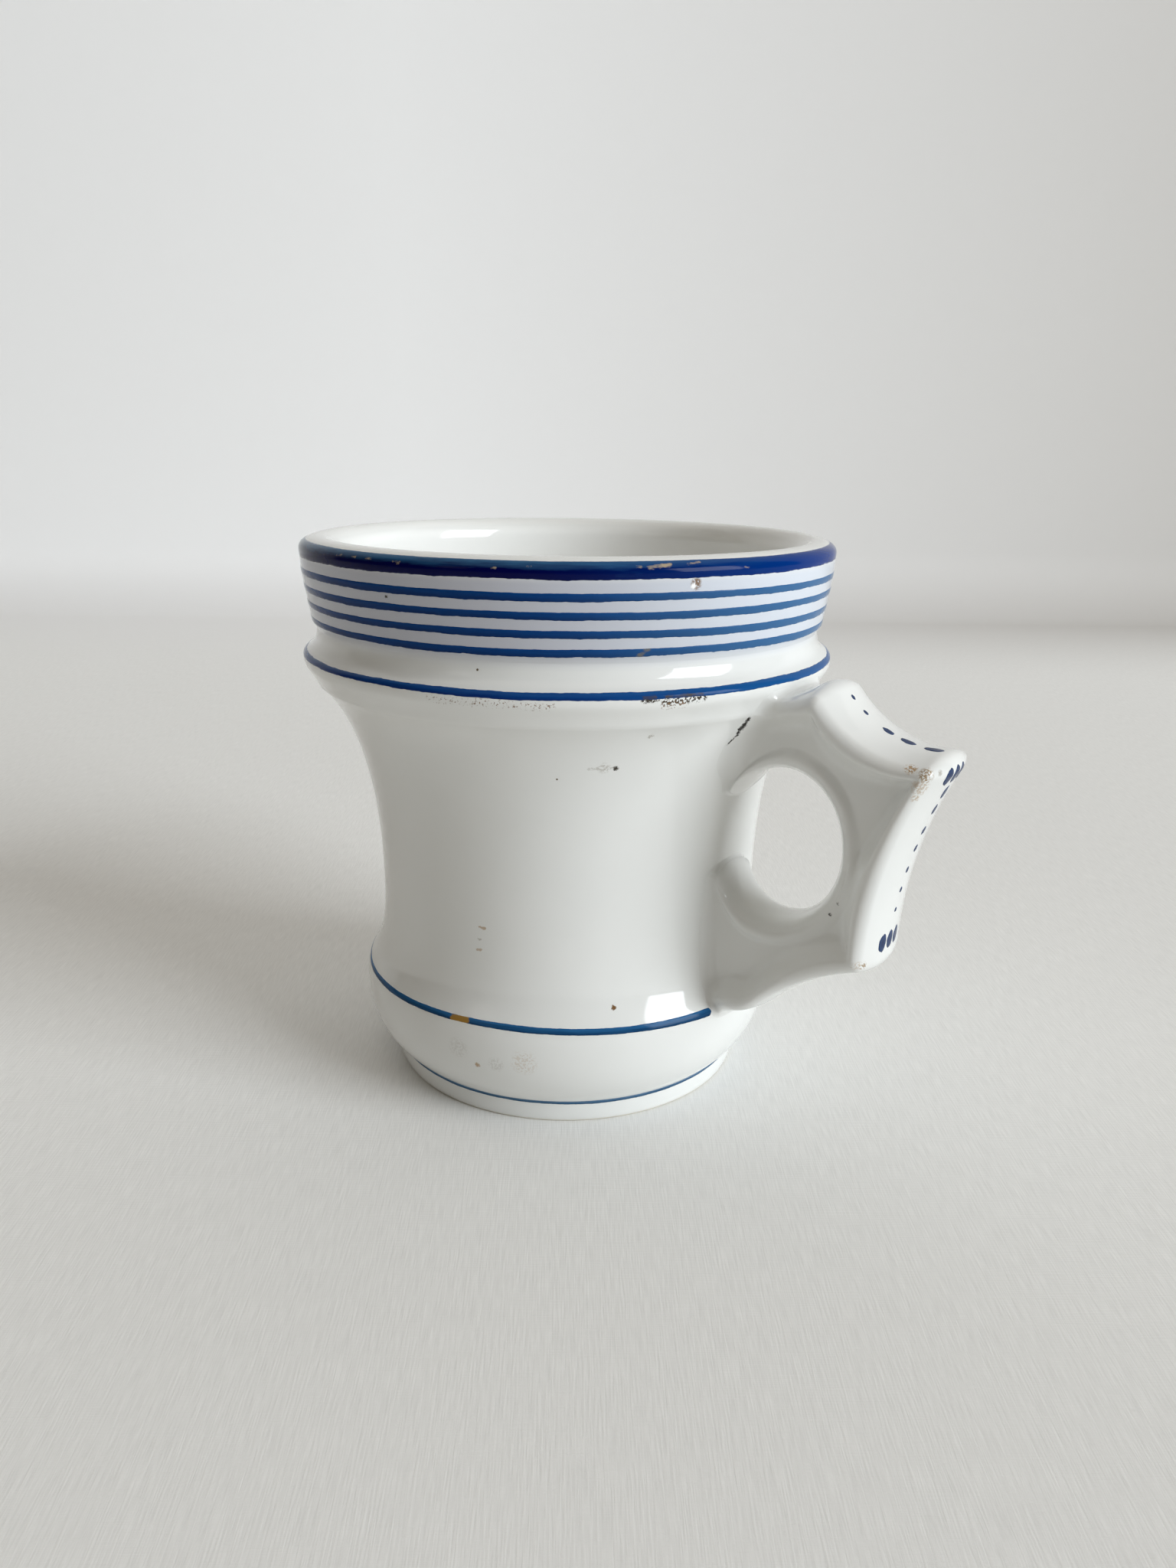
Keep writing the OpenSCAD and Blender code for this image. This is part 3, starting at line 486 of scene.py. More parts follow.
def handle_half():
    """Half of the handle's skin, one row for each place along the outline: from the hole's middle round the
    roll, over the web, out along the flare, round the edge and up the crown to the middle of the face."""
    p, n, crowned = outline(s_rings)
    hole = hole_point(np.interp(s_rings, arc_starts, spoke_angles()))
    edge = p - n * crowned[:, None]
    reach = np.hypot(*(edge - hole).T)
    e = (edge - hole) / reach[:, None]
    half, flared = handle_w / 2, 2 * (handle_w / 2 - edge_round * (1 - math.cos(edge_turn)) - web_w / 2)
    flare = flared / math.tan(edge_turn)
    flare_end = reach - edge_round * (1 + math.sin(edge_turn))

    a = np.linspace(0, np.pi / 2, roll_rows)
    roll_d, roll_y = roll_round * (1 - np.cos(a)), roll_w / 2 * np.sin(a)
    t = np.linspace(0, 1, web_rows)[1:]
    web_d = roll_round + (flare_end - roll_round)[:, None] * t
    roll_fade = (1 + np.cos(np.pi * np.clip((web_d - roll_round) / roll_run, 0, 1))) / 2
    rise = np.clip(1 - (flare_end[:, None] - web_d) / flare, 0, None)
    web_y = (web_w + (roll_w - web_w) * roll_fade + flared * rise ** 3 * (2 - rise)) / 2
    b = np.linspace(-edge_turn, np.pi / 2, edge_rows)[1:]
    round_d = reach[:, None] - edge_round * (1 - np.sin(b))
    round_y = half - edge_round * (1 - np.cos(b))
    round_up = (1 - (round_y / half) ** 2) * (np.sin(b) + math.sin(edge_turn)) / (1 + math.sin(edge_turn))
    crown_y = np.linspace(half - edge_round, 0, crown_rows)[1:]

    each = np.ones((len(s_rings), 1))
    d = np.hstack([roll_d * each, web_d, round_d, reach[:, None] * np.ones(len(crown_y))])
    y = np.hstack([roll_y * each, web_y, round_y * each, crown_y * each])
    up = np.hstack([0 * roll_d * each, 0 * web_d, round_up * each, (1 - (crown_y / half) ** 2) * each])
    q = hole[:, None] + e[:, None] * d[..., None] + n[:, None] * (up * crowned[:, None])[..., None]
    return np.stack([q[..., 0], -y, q[..., 1]], -1), d / reach[:, None]


def ease(x):
    """Smooth step from 0 to 1, 3x^2 - 2x^3."""
    x = np.clip(x, 0, 1)
    return x * x * (3 - 2 * x)


def seat(half, out):
    """Adds rows that close in on the wall at both ends, and draws the rows close to the cup out to the
    joint's width, the roll less than the web; out is the share of the way from the hole to the outer face."""
    x, y, z = np.moveaxis(half, -1, 0)
    off = np.maximum(x - face_x(z, y), seat_gap)
    closing = np.linspace(1, 0, closing_rows)[1:, None] ** 1.6
    off = np.vstack([off[:1] * closing[::-1], off, off[-1:] * closing])
    times = np.ones(len(y), int)
    times[[0, -1]] += len(closing)
    y, z, out = (np.repeat(v, times, 0) for v in (y, z, out))
    upper = (np.arange(len(y)) < len(y) / 2)[:, None]
    joint = np.where(upper, upper_joint_w, lower_joint_w)
    widest = roll_w / 2 + (joint - roll_w) / 2 * ease(out / 0.5)
    goal = np.sign(y) * widest * np.minimum(1, 2 * np.abs(y) / web_w)
    y = y + (goal - y) * np.clip(1 - off / joint_run, 0, None) ** 2
    return np.stack([face_x(z, y) + off, y, z], -1), out, upper


def wiped(skin, out, upper):
    """Hollows the skin out to the wall round each joint: a point a distance d off the wall moves out along
    the wall by R - sqrt(R^2 - (R - d)^2), which is a round of radius R, and the last of it sinks into the
    wall. R is small at the roll's end, largest beside the web and smaller again on the outer face."""
    web_wipe = np.where(upper, upper_wipe, lower_wipe)
    radius = roll_wipe + (web_wipe - roll_wipe) * ease((out - 0.1) / 0.35)
    radius = radius + (np.minimum(ledge_wipe, web_wipe) - web_wipe) * ease((out - 0.75) / 0.25)
    along = np.roll(skin, -1, 1) - np.roll(skin, 1, 1)
    on = np.gradient(skin, axis=0)
    normal = np.cross(on, along)
    normal /= np.linalg.norm(normal, axis=-1, keepdims=True) + 1e-12

    def from_wall(points):
        x, y, z = np.moveaxis(points, -1, 0)
        rho = np.hypot(x, y)
        out_r, out_z = wall_tilt(z)
        true = wall_radius(z) + unevenness(np.arctan2(y, x), z)
        return (rho - true) * out_r, np.stack([x / rho * out_r, y / rho * out_r, out_z], -1)

    off_wall, m = from_wall(skin)
    d = np.clip(off_wall, 0, radius)
    move = radius - np.sqrt(radius ** 2 - (radius - d) ** 2)
    flat = normal - (normal * m).sum(-1, keepdims=True) * m
    flat /= np.linalg.norm(flat, axis=-1, keepdims=True) + 1e-12
    moved = skin + flat * move[..., None]
    now, m = from_wall(moved)
    sunk = d - 0.08 * (move / radius) ** 2
    return np.where((move > 0)[..., None], moved + m * (sunk - now)[..., None], moved)


half_skin, half_out, is_upper = seat(*handle_half())
many_rows, half_cols = half_skin.shape[:2]
handle_skin = np.concatenate([half_skin, (half_skin * [1, -1, 1])[:, -2:0:-1]], 1)
ring_cols = handle_skin.shape[1]
handle_skin = wiped(handle_skin, np.concatenate([half_out, half_out[:, -2:0:-1]], 1), is_upper)
# Each end is closed by a strip from the near half to the far half, with triangles for its outermost quads
front = np.arange(half_cols)
back = (-front) % ring_cols
end_strip = np.stack([front[:-1], front[1:], back[1:], back[:-1]], -1)
last_ring = (many_rows - 1) * ring_cols
handle_faces = grid_faces(many_rows, ring_cols, flip=True)
for strip in (end_strip, end_strip[:, ::-1] + last_ring):
    handle_faces += [list(dict.fromkeys(quad)) for quad in strip.tolist()]
handle = make_piece("handle", handle_skin.reshape(-1, 3), handle_faces, "porcelain", "handle")
# The cut ends are hidden in the wall and stay flat, so that they don't bend the shading of the wiped edge
is_side = np.arange(len(handle.data.polygons)) < (many_rows - 1) * ring_cols
handle.data.polygons.foreach_set("use_smooth", is_side)


def spot(x, y, z):
    """A place given in millimetres, in metres as a shader takes it."""
    return [x * MM, y * MM, z * MM]


ochre = "#8f6d33"
handle_marks = [
    (spot(63.3, -6.9, 62.8), 1.1, 0.9, tan, 0.5), (spot(65.5, -7, 62.3), 1.3, 0.8, ochre, 0.5),
    (spot(64.9, -7.1, 60.5), 1.5, 0.5, tan, 0.5), (spot(64.2, -7, 58.9), 0.8, 0.6, tan, 0.52),
    (spot(57.5, -6.5, 32.6), 1.2, 0.8, tan, 0.52), (spot(58.6, -6.2, 32.3), 0.8, 0.8, ochre, 0.54),
    (spot(66.6, -4.9, 62.3), 0.5, 0.7, ash, 0.4), (spot(53.6, -5.2, 40.4), 0.3, 0.9, soot, 0.3),
    (spot(52.5, -5.2, 38.4), 0.3, 0.9, soot, 0.3), (spot(62.6, -7, 55.6), 0.4, 0.5, tan, 0.5),
]
crack_run = [spot(39.4, -9.1, 66.6), spot(38.6, -8.8, 65.6), spot(38.1, -8.9, 64.9), spot(37.5, -8.7, 63.8),
             spot(36.3, -9.3, 62.2)]
cracks = [(start, end, half, 1, "#15130f", 0)
          for start, end, half in zip(crack_run, crack_run[1:], (0.5, 0.6, 0.34, 0.16))]
handle.data.materials.append(glazed_porcelain("glazed_porcelain_handle", handle_marks, cracks))

# Slip joints: the two thin layers of porcelain slip, clay thinned with water, that hold the handle's ends.
# Each lies between the wall and one end of the handle and has that end's outline, under the wiped edge.
slip_film, slip_root, slip_cols = 0.1, 0.1, 12


def slip_pad(end_row):
    """Closed pad on the wall inside the outline of one end of the handle: each row runs across the handle at
    one height, out over the film and back behind it."""
    share = np.linspace(1, -1, slip_cols)
    y = end_row[1:-1, 1][:, None] * share
    z = np.broadcast_to(end_row[1:-1, 2][:, None], y.shape)
    angle = np.arcsin(y / wall_radius(z))
    film, behind = wall_point(angle, z, slip_film), wall_point(angle, z, -slip_root)
    return np.concatenate([film, behind[:, ::-1]], 1)


def tube_faces(rows, cols, flip=False):
    """Quads of a tube whose rows are rings, with the first and the last ring closed by one face each."""
    first = np.arange(cols)
    last = first + (rows - 1) * cols
    caps = (first, last[::-1]) if flip else (first[::-1], last)
    return grid_faces(rows, cols, flip=flip) + [cap.tolist() for cap in caps]


def slip_piece(name, end_row, clay):
    """One slip joint: the pad's rows joined into a closed tube, flipped where the rows run downwards."""
    pad = slip_pad(end_row)
    faces = tube_faces(*pad.shape[:2], flip=end_row[0, 2] > end_row[-1, 2])
    made = make_piece(name, pad.reshape(-1, 3), faces, "slip", name)
    made.data.materials.append(clay)


# Fired slip: the cup's own clay, a shade greyer than the glazed white and faintly grainy
slip_clay, slip_tree = new_material("porcelain_slip")
slip_place = add(slip_tree, "ShaderNodeTexCoord").outputs["Object"]
slip_grain = add(slip_tree, "ShaderNodeTexNoise", {"Vector": slip_place, "Scale": 1 / (1.5 * MM),
                                                   "Detail": 3})
slip_tone = add(slip_tree, "ShaderNodeMix", {"Factor": slip_grain, "A": colour("#e6e6e0"),
                                             "B": colour("#dcdcd4")}, data_type="RGBA")
slip_surface = add(slip_tree, "ShaderNodeBsdfPrincipled", {"Base Color": slip_tone, "Roughness": 0.3,
                                                           "IOR": 1.5})
add(slip_tree, "ShaderNodeOutputMaterial", {"Surface": slip_surface})
slip_piece("upper_slip_joint", half_skin[0], slip_clay)
slip_piece("lower_slip_joint", half_skin[-1], slip_clay)

# Rim band: a broad band of cobalt laid on the lip with a loaded brush while the cup turns on a banding wheel,
# darkest low down, where the colour pooled, and rubbed to tan clay in places by lips and spoons. Its
# lighter top, where the lip turns up, is partly painted reflection of the room.
paint_lift, paint_sink, paint_root = 0.05, 0.012, 0.12
line_turns = 1440
line_angles = np.arange(line_turns) * 2 * np.pi / line_turns


def ragged(angle, size, seed):
    """Uneven edge of a brushed line: waves round the cup with random phases, the slow ones larger."""
    phases = np.random.default_rng(seed)
    beats = np.array([2, 3, 5, 9, 17, 31, 47, 73, 101, 151, 211, 307])
    weights = beats ** -0.35
    start = phases.uniform(0, 2 * np.pi, len(beats))
    spread = np.sqrt((weights ** 2).sum() / 2)
    return size * (np.sin(np.outer(angle, beats) + start) * weights).sum(1) / spread


def line_shell(angle, low, high, across=9):
    """A painted line: across the line the film is thickest in the middle, lift (1 - u^4), and runs into the
    wall at both edges; behind it the film is closed inside the wall. Rows run up the face and back behind."""
    u = np.linspace(-1, 1, across)
    z = (low + high)[None, :] / 2 + (high - low)[None, :] / 2 * u[:, None]
    lift = paint_lift * (1 - u ** 4) - paint_sink * u ** 4
    face = wall_point(angle[None, :], z, lift[:, None])
    behind = wall_point(angle[None, :], z[[-1, 0]], np.full((2, 1), -paint_root))
    return np.concatenate([face, behind]), np.concatenate([u, [1, -1]])


def cobalt(name, deep, thin, lit_sheen=None, worn=(), bare="#b7a487", pale_edge=0.3, pooled=(-0.9, 0.9)):
    """Cobalt oxide brushed on and fired under the glaze: deeper where the brush left more, in streaks along
    the line, pooled low down and watery at the edges. Towards the lit right side it turns to the sheen
    colour, a painted sheen of the window's reflection in the glaze. Worn places, each a start, an end, a
    half width and a strength, are rubbed bare."""
    made, tree = new_material(name)
    place = add(tree, "ShaderNodeTexCoord").outputs["Object"]
    across = add(tree, "ShaderNodeAttribute", attribute_name="across").outputs["Fac"]
    split = add(tree, "ShaderNodeSeparateXYZ", {0: place})
    # Streaks 9 mm long and a third of the line wide
    far_x, far_y = [add(tree, "ShaderNodeMath", {0: split.outputs[i], 1: 1 / (9 * MM)}, operation="MULTIPLY")
                    for i in (0, 1)]
    wide = add(tree, "ShaderNodeMath", {0: across, 1: 1.5}, operation="MULTIPLY")
    brush = add(tree, "ShaderNodeCombineXYZ", {0: far_x, 1: far_y, 2: wide})
    streak = add(tree, "ShaderNodeTexNoise", {"Vector": brush, "Scale": 1, "Detail": 4, "Roughness": 0.65})
    pool = add(tree, "ShaderNodeMapRange", {"Value": across, "From Min": pooled[0], "From Max": pooled[1],
                                            "To Min": -0.35, "To Max": 0.35})
    load = add(tree, "ShaderNodeMath", {0: streak, 1: pool}, operation="ADD")
    load = add(tree, "ShaderNodeMapRange", {"Value": load, "From Min": 0.25, "From Max": 0.8})
    tone = add(tree, "ShaderNodeMix", {"Factor": load, "A": colour(deep), "B": colour(thin)},
               data_type="RGBA")
    # Painted sheen: the paint turns lighter towards the lit right side, for the window's reflection in the
    # glaze
    if lit_sheen:
        right = add(tree, "ShaderNodeVectorMath", {0: place, 1: lit_side}, operation="DOT_PRODUCT")
        towards_lit_side = add(tree, "ShaderNodeMapRange", {"Value": right, "From Min": -8 * MM, "From Max": 40 * MM},
                    interpolation_type="SMOOTHSTEP")
        tone = add(tree, "ShaderNodeMix", {"Factor": towards_lit_side, "A": tone, "B": colour(lit_sheen)}, data_type="RGBA")
    edge = add(tree, "ShaderNodeMath", {0: across}, operation="ABSOLUTE")
    edge = add(tree, "ShaderNodeMapRange", {"Value": edge, "From Min": 0.9, "From Max": 1,
                                            "To Max": pale_edge})
    tone = add(tree, "ShaderNodeMix", {"Factor": edge, "A": tone, "B": colour("#c9d3df")}, data_type="RGBA")
    glossy, matt_and_wall_shade, worn_core = 0.1, 0.45, 0.2
    rough = glossy
    if worn:
        # Crumbs of paint about 1.4 mm long and 0.5 mm high are left standing in a worn place
        per_crumb = (1 / (1.4 * MM), 1 / (1.4 * MM), 1 / (0.5 * MM))
        stretched = add(tree, "ShaderNodeVectorMath", {0: place, 1: per_crumb}, operation="MULTIPLY")
        crumb = add(tree, "ShaderNodeTexNoise", {"Vector": stretched, "Scale": 1, "Detail": 4,
                                                 "Roughness": 0.7})
        rubbed, *others = [near_run(tree, place, start, end, half, worn_core, strength)
                           for start, end, half, strength in worn]
        for near in others:
            rubbed = add(tree, "ShaderNodeMath", {0: rubbed, 1: near}, operation="MAXIMUM")
        amount = add(tree, "ShaderNodeMath", {0: rubbed, 1: crumb}, operation="ADD")
        through = add(tree, "ShaderNodeMapRange", {"Value": amount, "From Min": 0.85, "From Max": 1.1,
                                                   "To Max": 0.9})
        tone = add(tree, "ShaderNodeMix", {"Factor": through, "A": tone, "B": colour(bare)}, data_type="RGBA")
        rough = add(tree, "ShaderNodeMapRange", {"Value": through, "To Min": glossy, "To Max": matt_and_wall_shade})
    surface = add(tree, "ShaderNodeBsdfPrincipled", {"Base Color": tone, "Roughness": rough, "IOR": 1.5,
                                                     "Specular IOR Level": 0.09})
    add(tree, "ShaderNodeOutputMaterial", {"Surface": surface})
    return made


def set_across(made, values):
    """Gives each point of a painted piece its place across the stroke, which the paint reads."""
    stored = made.data.attributes.new("across", "FLOAT", "POINT").data
    stored.foreach_set("value", values.astype(np.float32))


def painted_line(name, low, high, paint):
    """A closed painted line round the cup between two uneven edges."""
    shell, across = line_shell(line_angles, low, high)
    faces = grid_faces(len(shell), line_turns, wrap_rows=True)
    made = make_piece(name, shell.reshape(-1, 3), faces, "cobalt", name)
    set_across(made, np.repeat(across, line_turns))
    made.data.materials.append(paint)


def frame_heights(node):
    """Lower and upper height of a node of the frame, in millimetres."""
    low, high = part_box(node)
    return low.z / MM, high.z / MM


rim_worn = [
    (on_cup(-40.6, 88.9), on_cup(-40, 88.9), 0.7, 0.42),
    (on_cup(-38.4, 88.8), on_cup(-34.4, 89.1), 0.7, 0.55),
    (on_cup(-31, 89.1), on_cup(-28.4, 89.2), 0.6, 0.45),
    (on_cup(-59.8, 88.9), on_cup(-59.2, 88.9), 0.6, 0.42),
    (on_cup(-66.2, 88.6), on_cup(-65.4, 88.6), 0.5, 0.4),
    (on_cup(-86, 88.7), on_cup(-84.5, 88.7), 0.6, 0.42),
    (on_cup(-93, 88.8), on_cup(-91.6, 88.8), 0.5, 0.45),
    (on_cup(-97, 88.8), on_cup(-96, 88.8), 0.5, 0.45),
    (on_cup(-102, 88.8), on_cup(-100.5, 88.8), 0.5, 0.42),
    (on_cup(-19, 88.5), on_cup(-18, 88.3), 0.5, 0.35),
]
rim_low, rim_high = frame_heights("rim_band")
rim_right = ease((np.cos(line_angles - view_turn) + 0.05) / 0.4)
# The band is darker low down where the colour pooled; its lighter top is partly painted reflection
rim_blue = cobalt("cobalt_rim_band", "#000340", "#2a5a82", lit_sheen="#00327c", worn=rim_worn, pooled=(-0.1, 0.75))
painted_line("rim_band", rim_low + 0.2 * rim_right + ragged(line_angles, 0.07, 1),
             rim_high - 0.06 + ragged(line_angles, 0.02, 2), rim_blue)

# Collar, bead and foot lines: single strokes of thinner cobalt, each made by holding a fine brush to the
# turning cup, so the lower edge, where the hairs drag, is more uneven than the upper one.
smudge_z = sum(frame_heights("collar_line_4")) / 2
smudge = [(on_cup(-39.3, smudge_z - 0.3), on_cup(-37.8, smudge_z + 0.5), 0.9, 0.5)]
collar_blue = cobalt("cobalt_collar_line", "#002a60", "#003d7c", lit_sheen="#406d9a", worn=smudge, bare="#6d6a62")
for n in range(1, 5):
    low, high = frame_heights(f"collar_line_{n}")
    painted_line(f"collar_line_{n}", low + ragged(line_angles, 0.06, 10 + n),
                 high + ragged(line_angles, 0.03, 20 + n), collar_blue)
low, high = frame_heights("bead_line")
bead_grit = [(on_cup(-38.8, low + 0.2), on_cup(-36.8, low + 0.2), 0.8, 0.5),
             (on_cup(-34.6, low + 0.2), on_cup(-27.4, low + 0.2), 0.7, 0.48)]
bead_blue = cobalt("cobalt_bead_line", "#082c6c", "#144c8c", lit_sheen="#1a5590", worn=bead_grit, bare="#4a4034")
painted_line("bead_line", low + ragged(line_angles, 0.06, 31),
             high + ragged(line_angles, 0.04, 32), bead_blue)
low, high = frame_heights("foot_line")
foot_spread = 0.08
foot_blue = cobalt("cobalt_foot_line", "#345676", "#5a7b99")
painted_line("foot_line", low - foot_spread + ragged(line_angles, 0.03, 41),
             high + foot_spread + ragged(line_angles, 0.03, 42), foot_blue)

# Base line: the same thin cobalt round the base swell, drawn by hand and a little higher in front. It starts
# and stops at the handle, where the brush was set down and lifted, so both ends are round and broader.
base_stop, base_turns = math.radians(11.2), 1200
base_low, base_high = frame_heights("base_line")
base_angles = np.linspace(base_stop, 2 * np.pi - base_stop, base_turns)
from_stop = np.minimum(base_angles - base_stop, 2 * np.pi - base_stop - base_angles) * swell[0]
broader = 1 + 0.6 * np.exp(-from_stop / 7)
brush_end = np.sqrt(np.clip(1 - (1 - np.clip(from_stop / 0.7, 0.02, 1)) ** 2, 0, 1))
base_half = (base_high - base_low) / 2 * broader * brush_end
from_front = (base_angles - view_turn + math.pi / 2 + math.radians(15) + math.pi) % (2 * math.pi) - math.pi
sag = 1.17 - 0.75 * np.exp(-(from_front / math.radians(42)) ** 2) + 0.12 * np.exp(-from_stop / 4)
base_middle = (base_high + base_low) / 2 - sag
base_edges = [base_middle + side * base_half + ragged(base_angles, 0.03, seed) * brush_end
              for side, seed in ((-1, 51), (1, 52))]
base_shell, base_across = line_shell(base_angles, *base_edges)
# The ring of rows is open at the handle, so the columns are the rows here and each end gets a cap
base_grid = np.swapaxes(base_shell, 0, 1)
base_faces = tube_faces(*base_grid.shape[:2], flip=True)
base_line = make_piece("base_line", base_grid.reshape(-1, 3), base_faces, "cobalt", "base_line")
set_across(base_line, np.tile(base_across, len(base_grid)))
gold_rub = [(on_cup(-83, 18.3), on_cup(-79.4, 18.4), 1.2, 0.75)]
base_blue = cobalt("cobalt_base_line", "#143c62", "#2a6294", worn=gold_rub, bare="#a67c2a")
base_line.data.materials.append(base_blue)

# Handle dots: single touches of a pointed brush, a row that grows along the top face, a row that shrinks down
# the spine, and three strokes side by side at each corner. Each is a thin lens of cobalt on the crowned face.
dot_l, dot_w, stroke_l, stroke_w, stroke_gap = 2.8, 1.9, 2.8, 2.05, 2.3
dot_rings, dot_sides, dot_edge = 6, 36, 0.01


def brush_dot(s, y, length, width, seed):
    """A brush dot on the handle's face as two discs, the film and its back: a point at share q of the way out
    and angle a lies q (1 + unevenness) half lengths along and half widths across."""
    a = np.arange(dot_sides) * 2 * np.pi / dot_sides
    q = (np.arange(1, dot_rings + 1) / dot_rings)[:, None]
    grow = 1 + ragged(a, 0.035, seed)
    along = s + length / 2 * q * np.cos(a) * grow
    beside = y + width / 2 * q * np.sin(a) * grow
    film = np.broadcast_to(paint_lift * (1 - q ** 8) + dot_edge * q ** 8, along.shape)
    rear = np.full(dot_sides + 1, -paint_root)
    return handle_face(np.concatenate([[s], along.ravel(), [s], along[-1]]),
                       np.concatenate([[y], beside.ravel(), [y], beside[-1]]),
                       np.concatenate([[paint_lift], film.ravel(), rear]))


def dot_faces(first):
    """Faces of one brush dot whose points start at first: the film's middle and rings, its rim, its back."""
    j = np.arange(dot_sides)
    on = (j + 1) % dot_sides
    rear = first + 1 + dot_rings * dot_sides
    ring_starts = np.append(first + 1 + np.arange(dot_rings) * dot_sides, rear + 1)
    at, out = ring_starts[:-1, None], ring_starts[1:, None]
    rings = np.stack([at + j, out + j, out + on, at + on], -1).reshape(-1, 4).tolist()
    return fan_faces(first, first + 1, dot_sides) + rings + fan_faces(rear, rear + 1, dot_sides, flip=True)


def dot_group(name, dots, paint):
    """A node's dots as one piece, with how far out on its dot each point lies as its across value."""
    sets = [brush_dot(*dot, seed=60 + n) for n, dot in enumerate(dots)]
    faces = [face for n in range(len(sets)) for face in dot_faces(n * len(sets[0]))]
    made = make_piece(name, np.vstack(sets), faces, "cobalt", name)
    q = np.repeat(np.arange(1, dot_rings + 1) / dot_rings, dot_sides)
    set_across(made, np.tile(np.concatenate([[0], q, [0], np.ones(dot_sides)]), len(sets)))
    made.data.materials.append(paint)


slate_blue = cobalt("cobalt_handle_dot", "#1f2b4d", "#324468", pale_edge=0.08)
top_dots = [(0.08, 0.32), (0.25, 0.34), (0.5, 0.68), (0.69, 0.84), (0.92, 1)]
spine_dots = [(0.1, 0.78), (0.2, 0.6), (0.32, 0.5), (0.42, 0.43), (0.54, 0.38), (0.65, 0.33), (0.76, 0.28)]
for name, arc, dots in (("handle_top_dots", top_arc, top_dots), ("handle_spine_dots", spine_arc, spine_dots)):
    dot_group(name, [(arc_starts[arc] + at * arc_lengths[arc], 0, dot_l * size, dot_w * size ** 0.75)
                     for at, size in dots], slate_blue)
spine_start, spine_end = arc_starts[spine_arc], arc_starts[spine_arc + 1]
for name, at in (("upper_corner_dots", spine_start - 0.1), ("lower_corner_dots", spine_end - 2.4)):
    dot_group(name, [(at, i * stroke_gap, stroke_l, stroke_w) for i in (-1, 0, 1)], slate_blue)

# Stage: a white linen cloth over a table, swept up to a plain wall behind the cup, square to the camera. The
# two are one sheet. Painted shade darkens the wall to the right and lies in the corner below it.
camera_azimuth = view_turn - math.pi / 2
wall_back, wall_top, sweep_round, stage_half = 552, 1400, 40, 1600
along_wall = (math.cos(view_turn), math.sin(view_turn), 0)
to_wall = (-math.sin(view_turn), math.cos(view_turn), 0)


def backdrop():
    """Cloth and wall as one sheet: flat from before the camera, round a quarter circle, straight up."""
    a = np.linspace(0, np.pi / 2, 24)
    deep = np.concatenate([[-stage_half], wall_back - sweep_round + sweep_round * np.sin(a), [wall_back]])
    high = np.concatenate([[0], sweep_round * (1 - np.cos(a)), [wall_top]])
    right = np.array([-stage_half, stage_half])
    level = right[None, :, None] * np.array(along_wall) + deep[:, None, None] * np.array(to_wall)
    points = level + high[:, None, None] * np.array([0, 0, 1])
    i = np.arange(len(deep) - 1) * 2
    return points.reshape(-1, 3), np.stack([i, i + 1, i + 3, i + 2], -1).tolist()


stage_points, stage_faces = backdrop()
stage_mesh = bpy.data.meshes.new("cloth_and_wall")
stage_mesh.from_pydata((stage_points * MM).tolist(), [], stage_faces)
stage_mesh.shade_smooth()
stage = bpy.data.objects.new("cloth_and_wall", stage_mesh)
bpy.context.scene.collection.objects.link(stage)

# Bleached linen in a plain weave: a matt white with faint threads; at the wall it passes into white plaster
cloth, cloth_tree = new_material("white_linen")
cloth_place = add(cloth_tree, "ShaderNodeTexCoord").outputs["Object"]
cloth_up = add(cloth_tree, "ShaderNodeSeparateXYZ", {0: cloth_place}).outputs["Z"]
cloth_right, cloth_away = [
    add(cloth_tree, "ShaderNodeVectorMath", {0: cloth_place, 1: way}, operation="DOT_PRODUCT")
    for way in (along_wall, to_wall)
]
# Painted shade: the wall's tone darkens towards the right
matt_and_wall_shade = add(cloth_tree, "ShaderNodeMapRange", {"Value": cloth_right, "From Min": -100 * MM,
                                              "From Max": 420 * MM})
back = add(cloth_tree, "ShaderNodeMapRange", {"Value": cloth_away, "From Min": 330 * MM,
                                              "From Max": 545 * MM}, interpolation_type="SMOOTHSTEP")
# Painted shade in the corner where the cloth meets the wall
shade = add(cloth_tree, "ShaderNodeMapRange", {"Value": cloth_up, "From Min": 36 * MM, "From Max": 2 * MM,
                                               "To Max": 0.2}, interpolation_type="SMOOTHSTEP")
wall_tone = add(cloth_tree, "ShaderNodeMix", {"Factor": matt_and_wall_shade, "A": colour("#fdfdfd"), "B": colour("#ccc9c5")},
                data_type="RGBA")
wall_tone = add(cloth_tree, "ShaderNodeMix", {"Factor": shade, "A": wall_tone, "B": colour("#8f8a84")},
                data_type="RGBA")
# Linen threads about 0.5 mm apart, drawn out along their length, the warp running up to the wall
warp_size, weft_size = (0.24 * MM, 5 * MM, 1), (6 * MM, 0.3 * MM, 1)
threads = [
    add(cloth_tree, "ShaderNodeMapping", {"Vector": cloth_place, "Rotation": (0, 0, view_turn),
                                          "Scale": size}, vector_type="TEXTURE")
    for size in (warp_size, weft_size)
]
warp, weft = [add(cloth_tree, "ShaderNodeTexNoise", {"Vector": run, "Scale": 1, "Detail": 1})
              for run in threads]
linen_tone = add(cloth_tree, "ShaderNodeMix", {"Factor": warp, "A": colour("#e5e5e3"),
                                               "B": colour("#fafaf8")}, data_type="RGBA")
cloth_tone = add(cloth_tree, "ShaderNodeMix", {"Factor": back, "A": linen_tone, "B": wall_tone},
                 data_type="RGBA")
woven = add(cloth_tree, "ShaderNodeMath", {0: warp, 1: weft}, operation="ADD")
before_wall = add(cloth_tree, "ShaderNodeMath", {0: 1, 1: back}, operation="SUBTRACT")
woven = add(cloth_tree, "ShaderNodeMath", {0: woven, 1: before_wall}, operation="MULTIPLY")
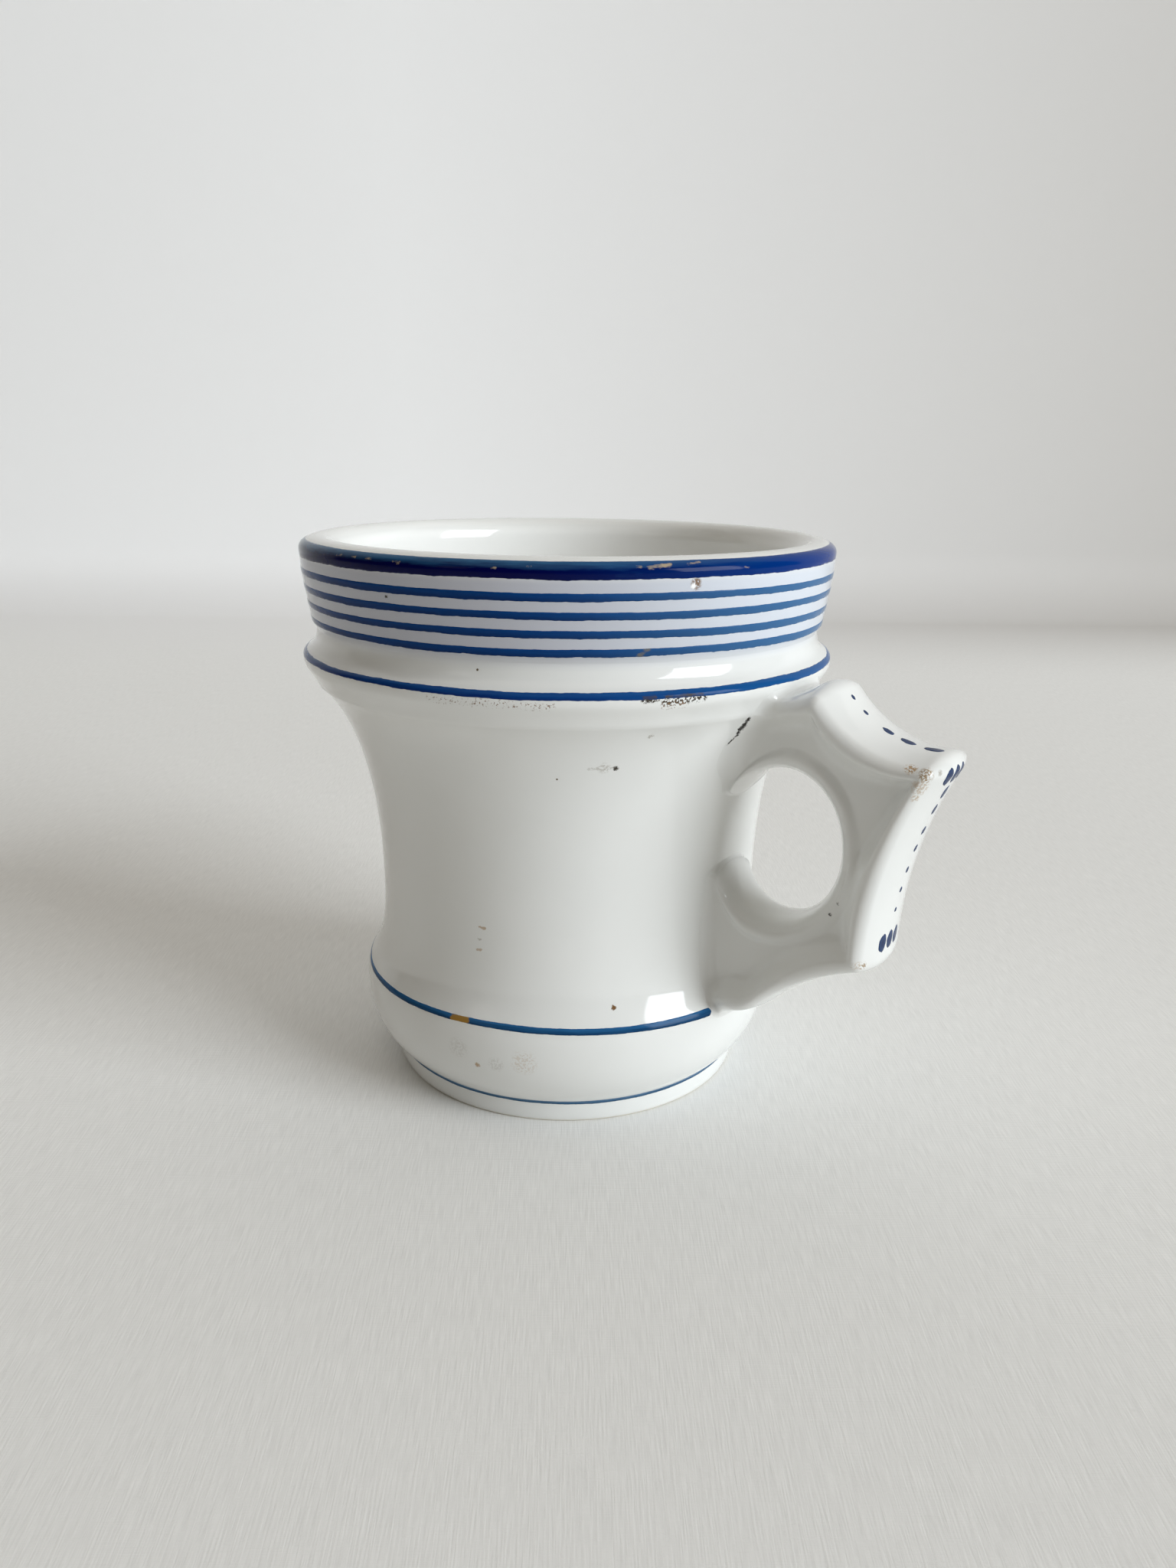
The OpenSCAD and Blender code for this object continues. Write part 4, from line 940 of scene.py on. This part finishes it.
nap = add(cloth_tree, "ShaderNodeBump", {"Height": woven, "Strength": 0.3, "Distance": 0.08 * MM})
cloth_surface = add(cloth_tree, "ShaderNodeBsdfPrincipled", {"Base Color": cloth_tone, "Roughness": 0.9,
                                                             "Normal": nap})
add(cloth_tree, "ShaderNodeOutputMaterial", {"Surface": cloth_surface})
stage_mesh.materials.append(cloth)

# Light: a tall window far off to the right of the camera, a faint one to the left, a warm white ceiling
# above, and the pale room all round, which the camera sees brighter than it lights the cup.
cup_middle = np.array([0, 0, crest[1] / 2])


def from_camera(turn_deg, up_deg, far):
    """Step from the cup to a place round it: degrees to the right of the camera, degrees up, and distance."""
    a, e = camera_azimuth + math.radians(turn_deg), math.radians(up_deg)
    return np.array([math.cos(a) * math.cos(e), math.sin(a) * math.cos(e), math.sin(e)]) * far


def window(name, turn_deg, up_deg, far, width, height, watts, hue):
    """A rectangular light that faces the middle of the cup."""
    data = bpy.data.lights.new(name, "AREA")
    data.shape = "RECTANGLE"
    data.size, data.size_y = width * MM, height * MM
    data.energy = watts
    data.color = colour(hue)[:3]
    lamp = bpy.data.objects.new(name, data)
    bpy.context.scene.collection.objects.link(lamp)
    place = from_camera(turn_deg, up_deg, far) + cup_middle
    back = (place - cup_middle) / np.linalg.norm(place - cup_middle)
    side = np.cross([0, 0, 1], back)
    side /= np.linalg.norm(side)
    up = np.cross(back, side)
    turned = np.stack([side, up, back], 1)
    lamp.matrix_world = Matrix([[*row, p * MM] for row, p in zip(turned, place)] + [[0, 0, 0, 1]])


window("window_right", 60, 19, 4000, 2080, 2480, 158, "#f4faff")
window("window_left", -48, 24, 1400, 300, 500, 0.25, "#fffdf8")
window("ceiling", 0, 89, 1800, 2600, 2600, 11.2, "#fff5e7")
room = bpy.data.worlds.new("pale_room")
room.use_nodes = True
room_tree = room.node_tree
room_tree.nodes.clear()
room_light = add(room_tree, "ShaderNodeBackground", {"Color": colour("#fff1da"), "Strength": 0.08})
room_seen = add(room_tree, "ShaderNodeBackground", {"Color": colour("#dcdad7"), "Strength": 1})
seen = add(room_tree, "ShaderNodeLightPath").outputs["Is Camera Ray"]
room_mix = add(room_tree, "ShaderNodeMixShader", {0: seen, 1: room_light, 2: room_seen})
add(room_tree, "ShaderNodeOutputWorld", {"Surface": room_mix})
bpy.context.scene.world = room
bpy.context.scene.view_settings.view_transform = "Standard"

# Camera: a hand-held view a little above the rim, tilted down, with the handle turned towards the viewer. Its
# place, tilt and focal length were fitted to the ellipses of the rim and the foot and to the cup's two sides.
picture_w, picture_h, focal_px = 1536, 2048, 1538
eye_far, eye_up = 195.5, 104.5
tilt, yaw, roll = math.radians(16.25), math.radians(1.02), math.radians(0.66)
camera_data = bpy.data.cameras.new("camera")
camera_data.sensor_width = 36
camera_data.lens = focal_px * camera_data.sensor_width / max(picture_w, picture_h)
camera_data.clip_start, camera_data.clip_end = 0.01, 20
camera = bpy.data.objects.new("camera", camera_data)
bpy.context.scene.collection.objects.link(camera)
camera.matrix_world = (
    Matrix.Rotation(view_turn, 4, "Z")
    @ Matrix.Translation((0, -eye_far * MM, eye_up * MM))
    @ Matrix.Rotation(-yaw, 4, "Z")
    @ Matrix.Rotation(math.pi / 2 - tilt, 4, "X")
    @ Matrix.Rotation(roll, 4, "Z")
)
bpy.context.scene.camera = camera
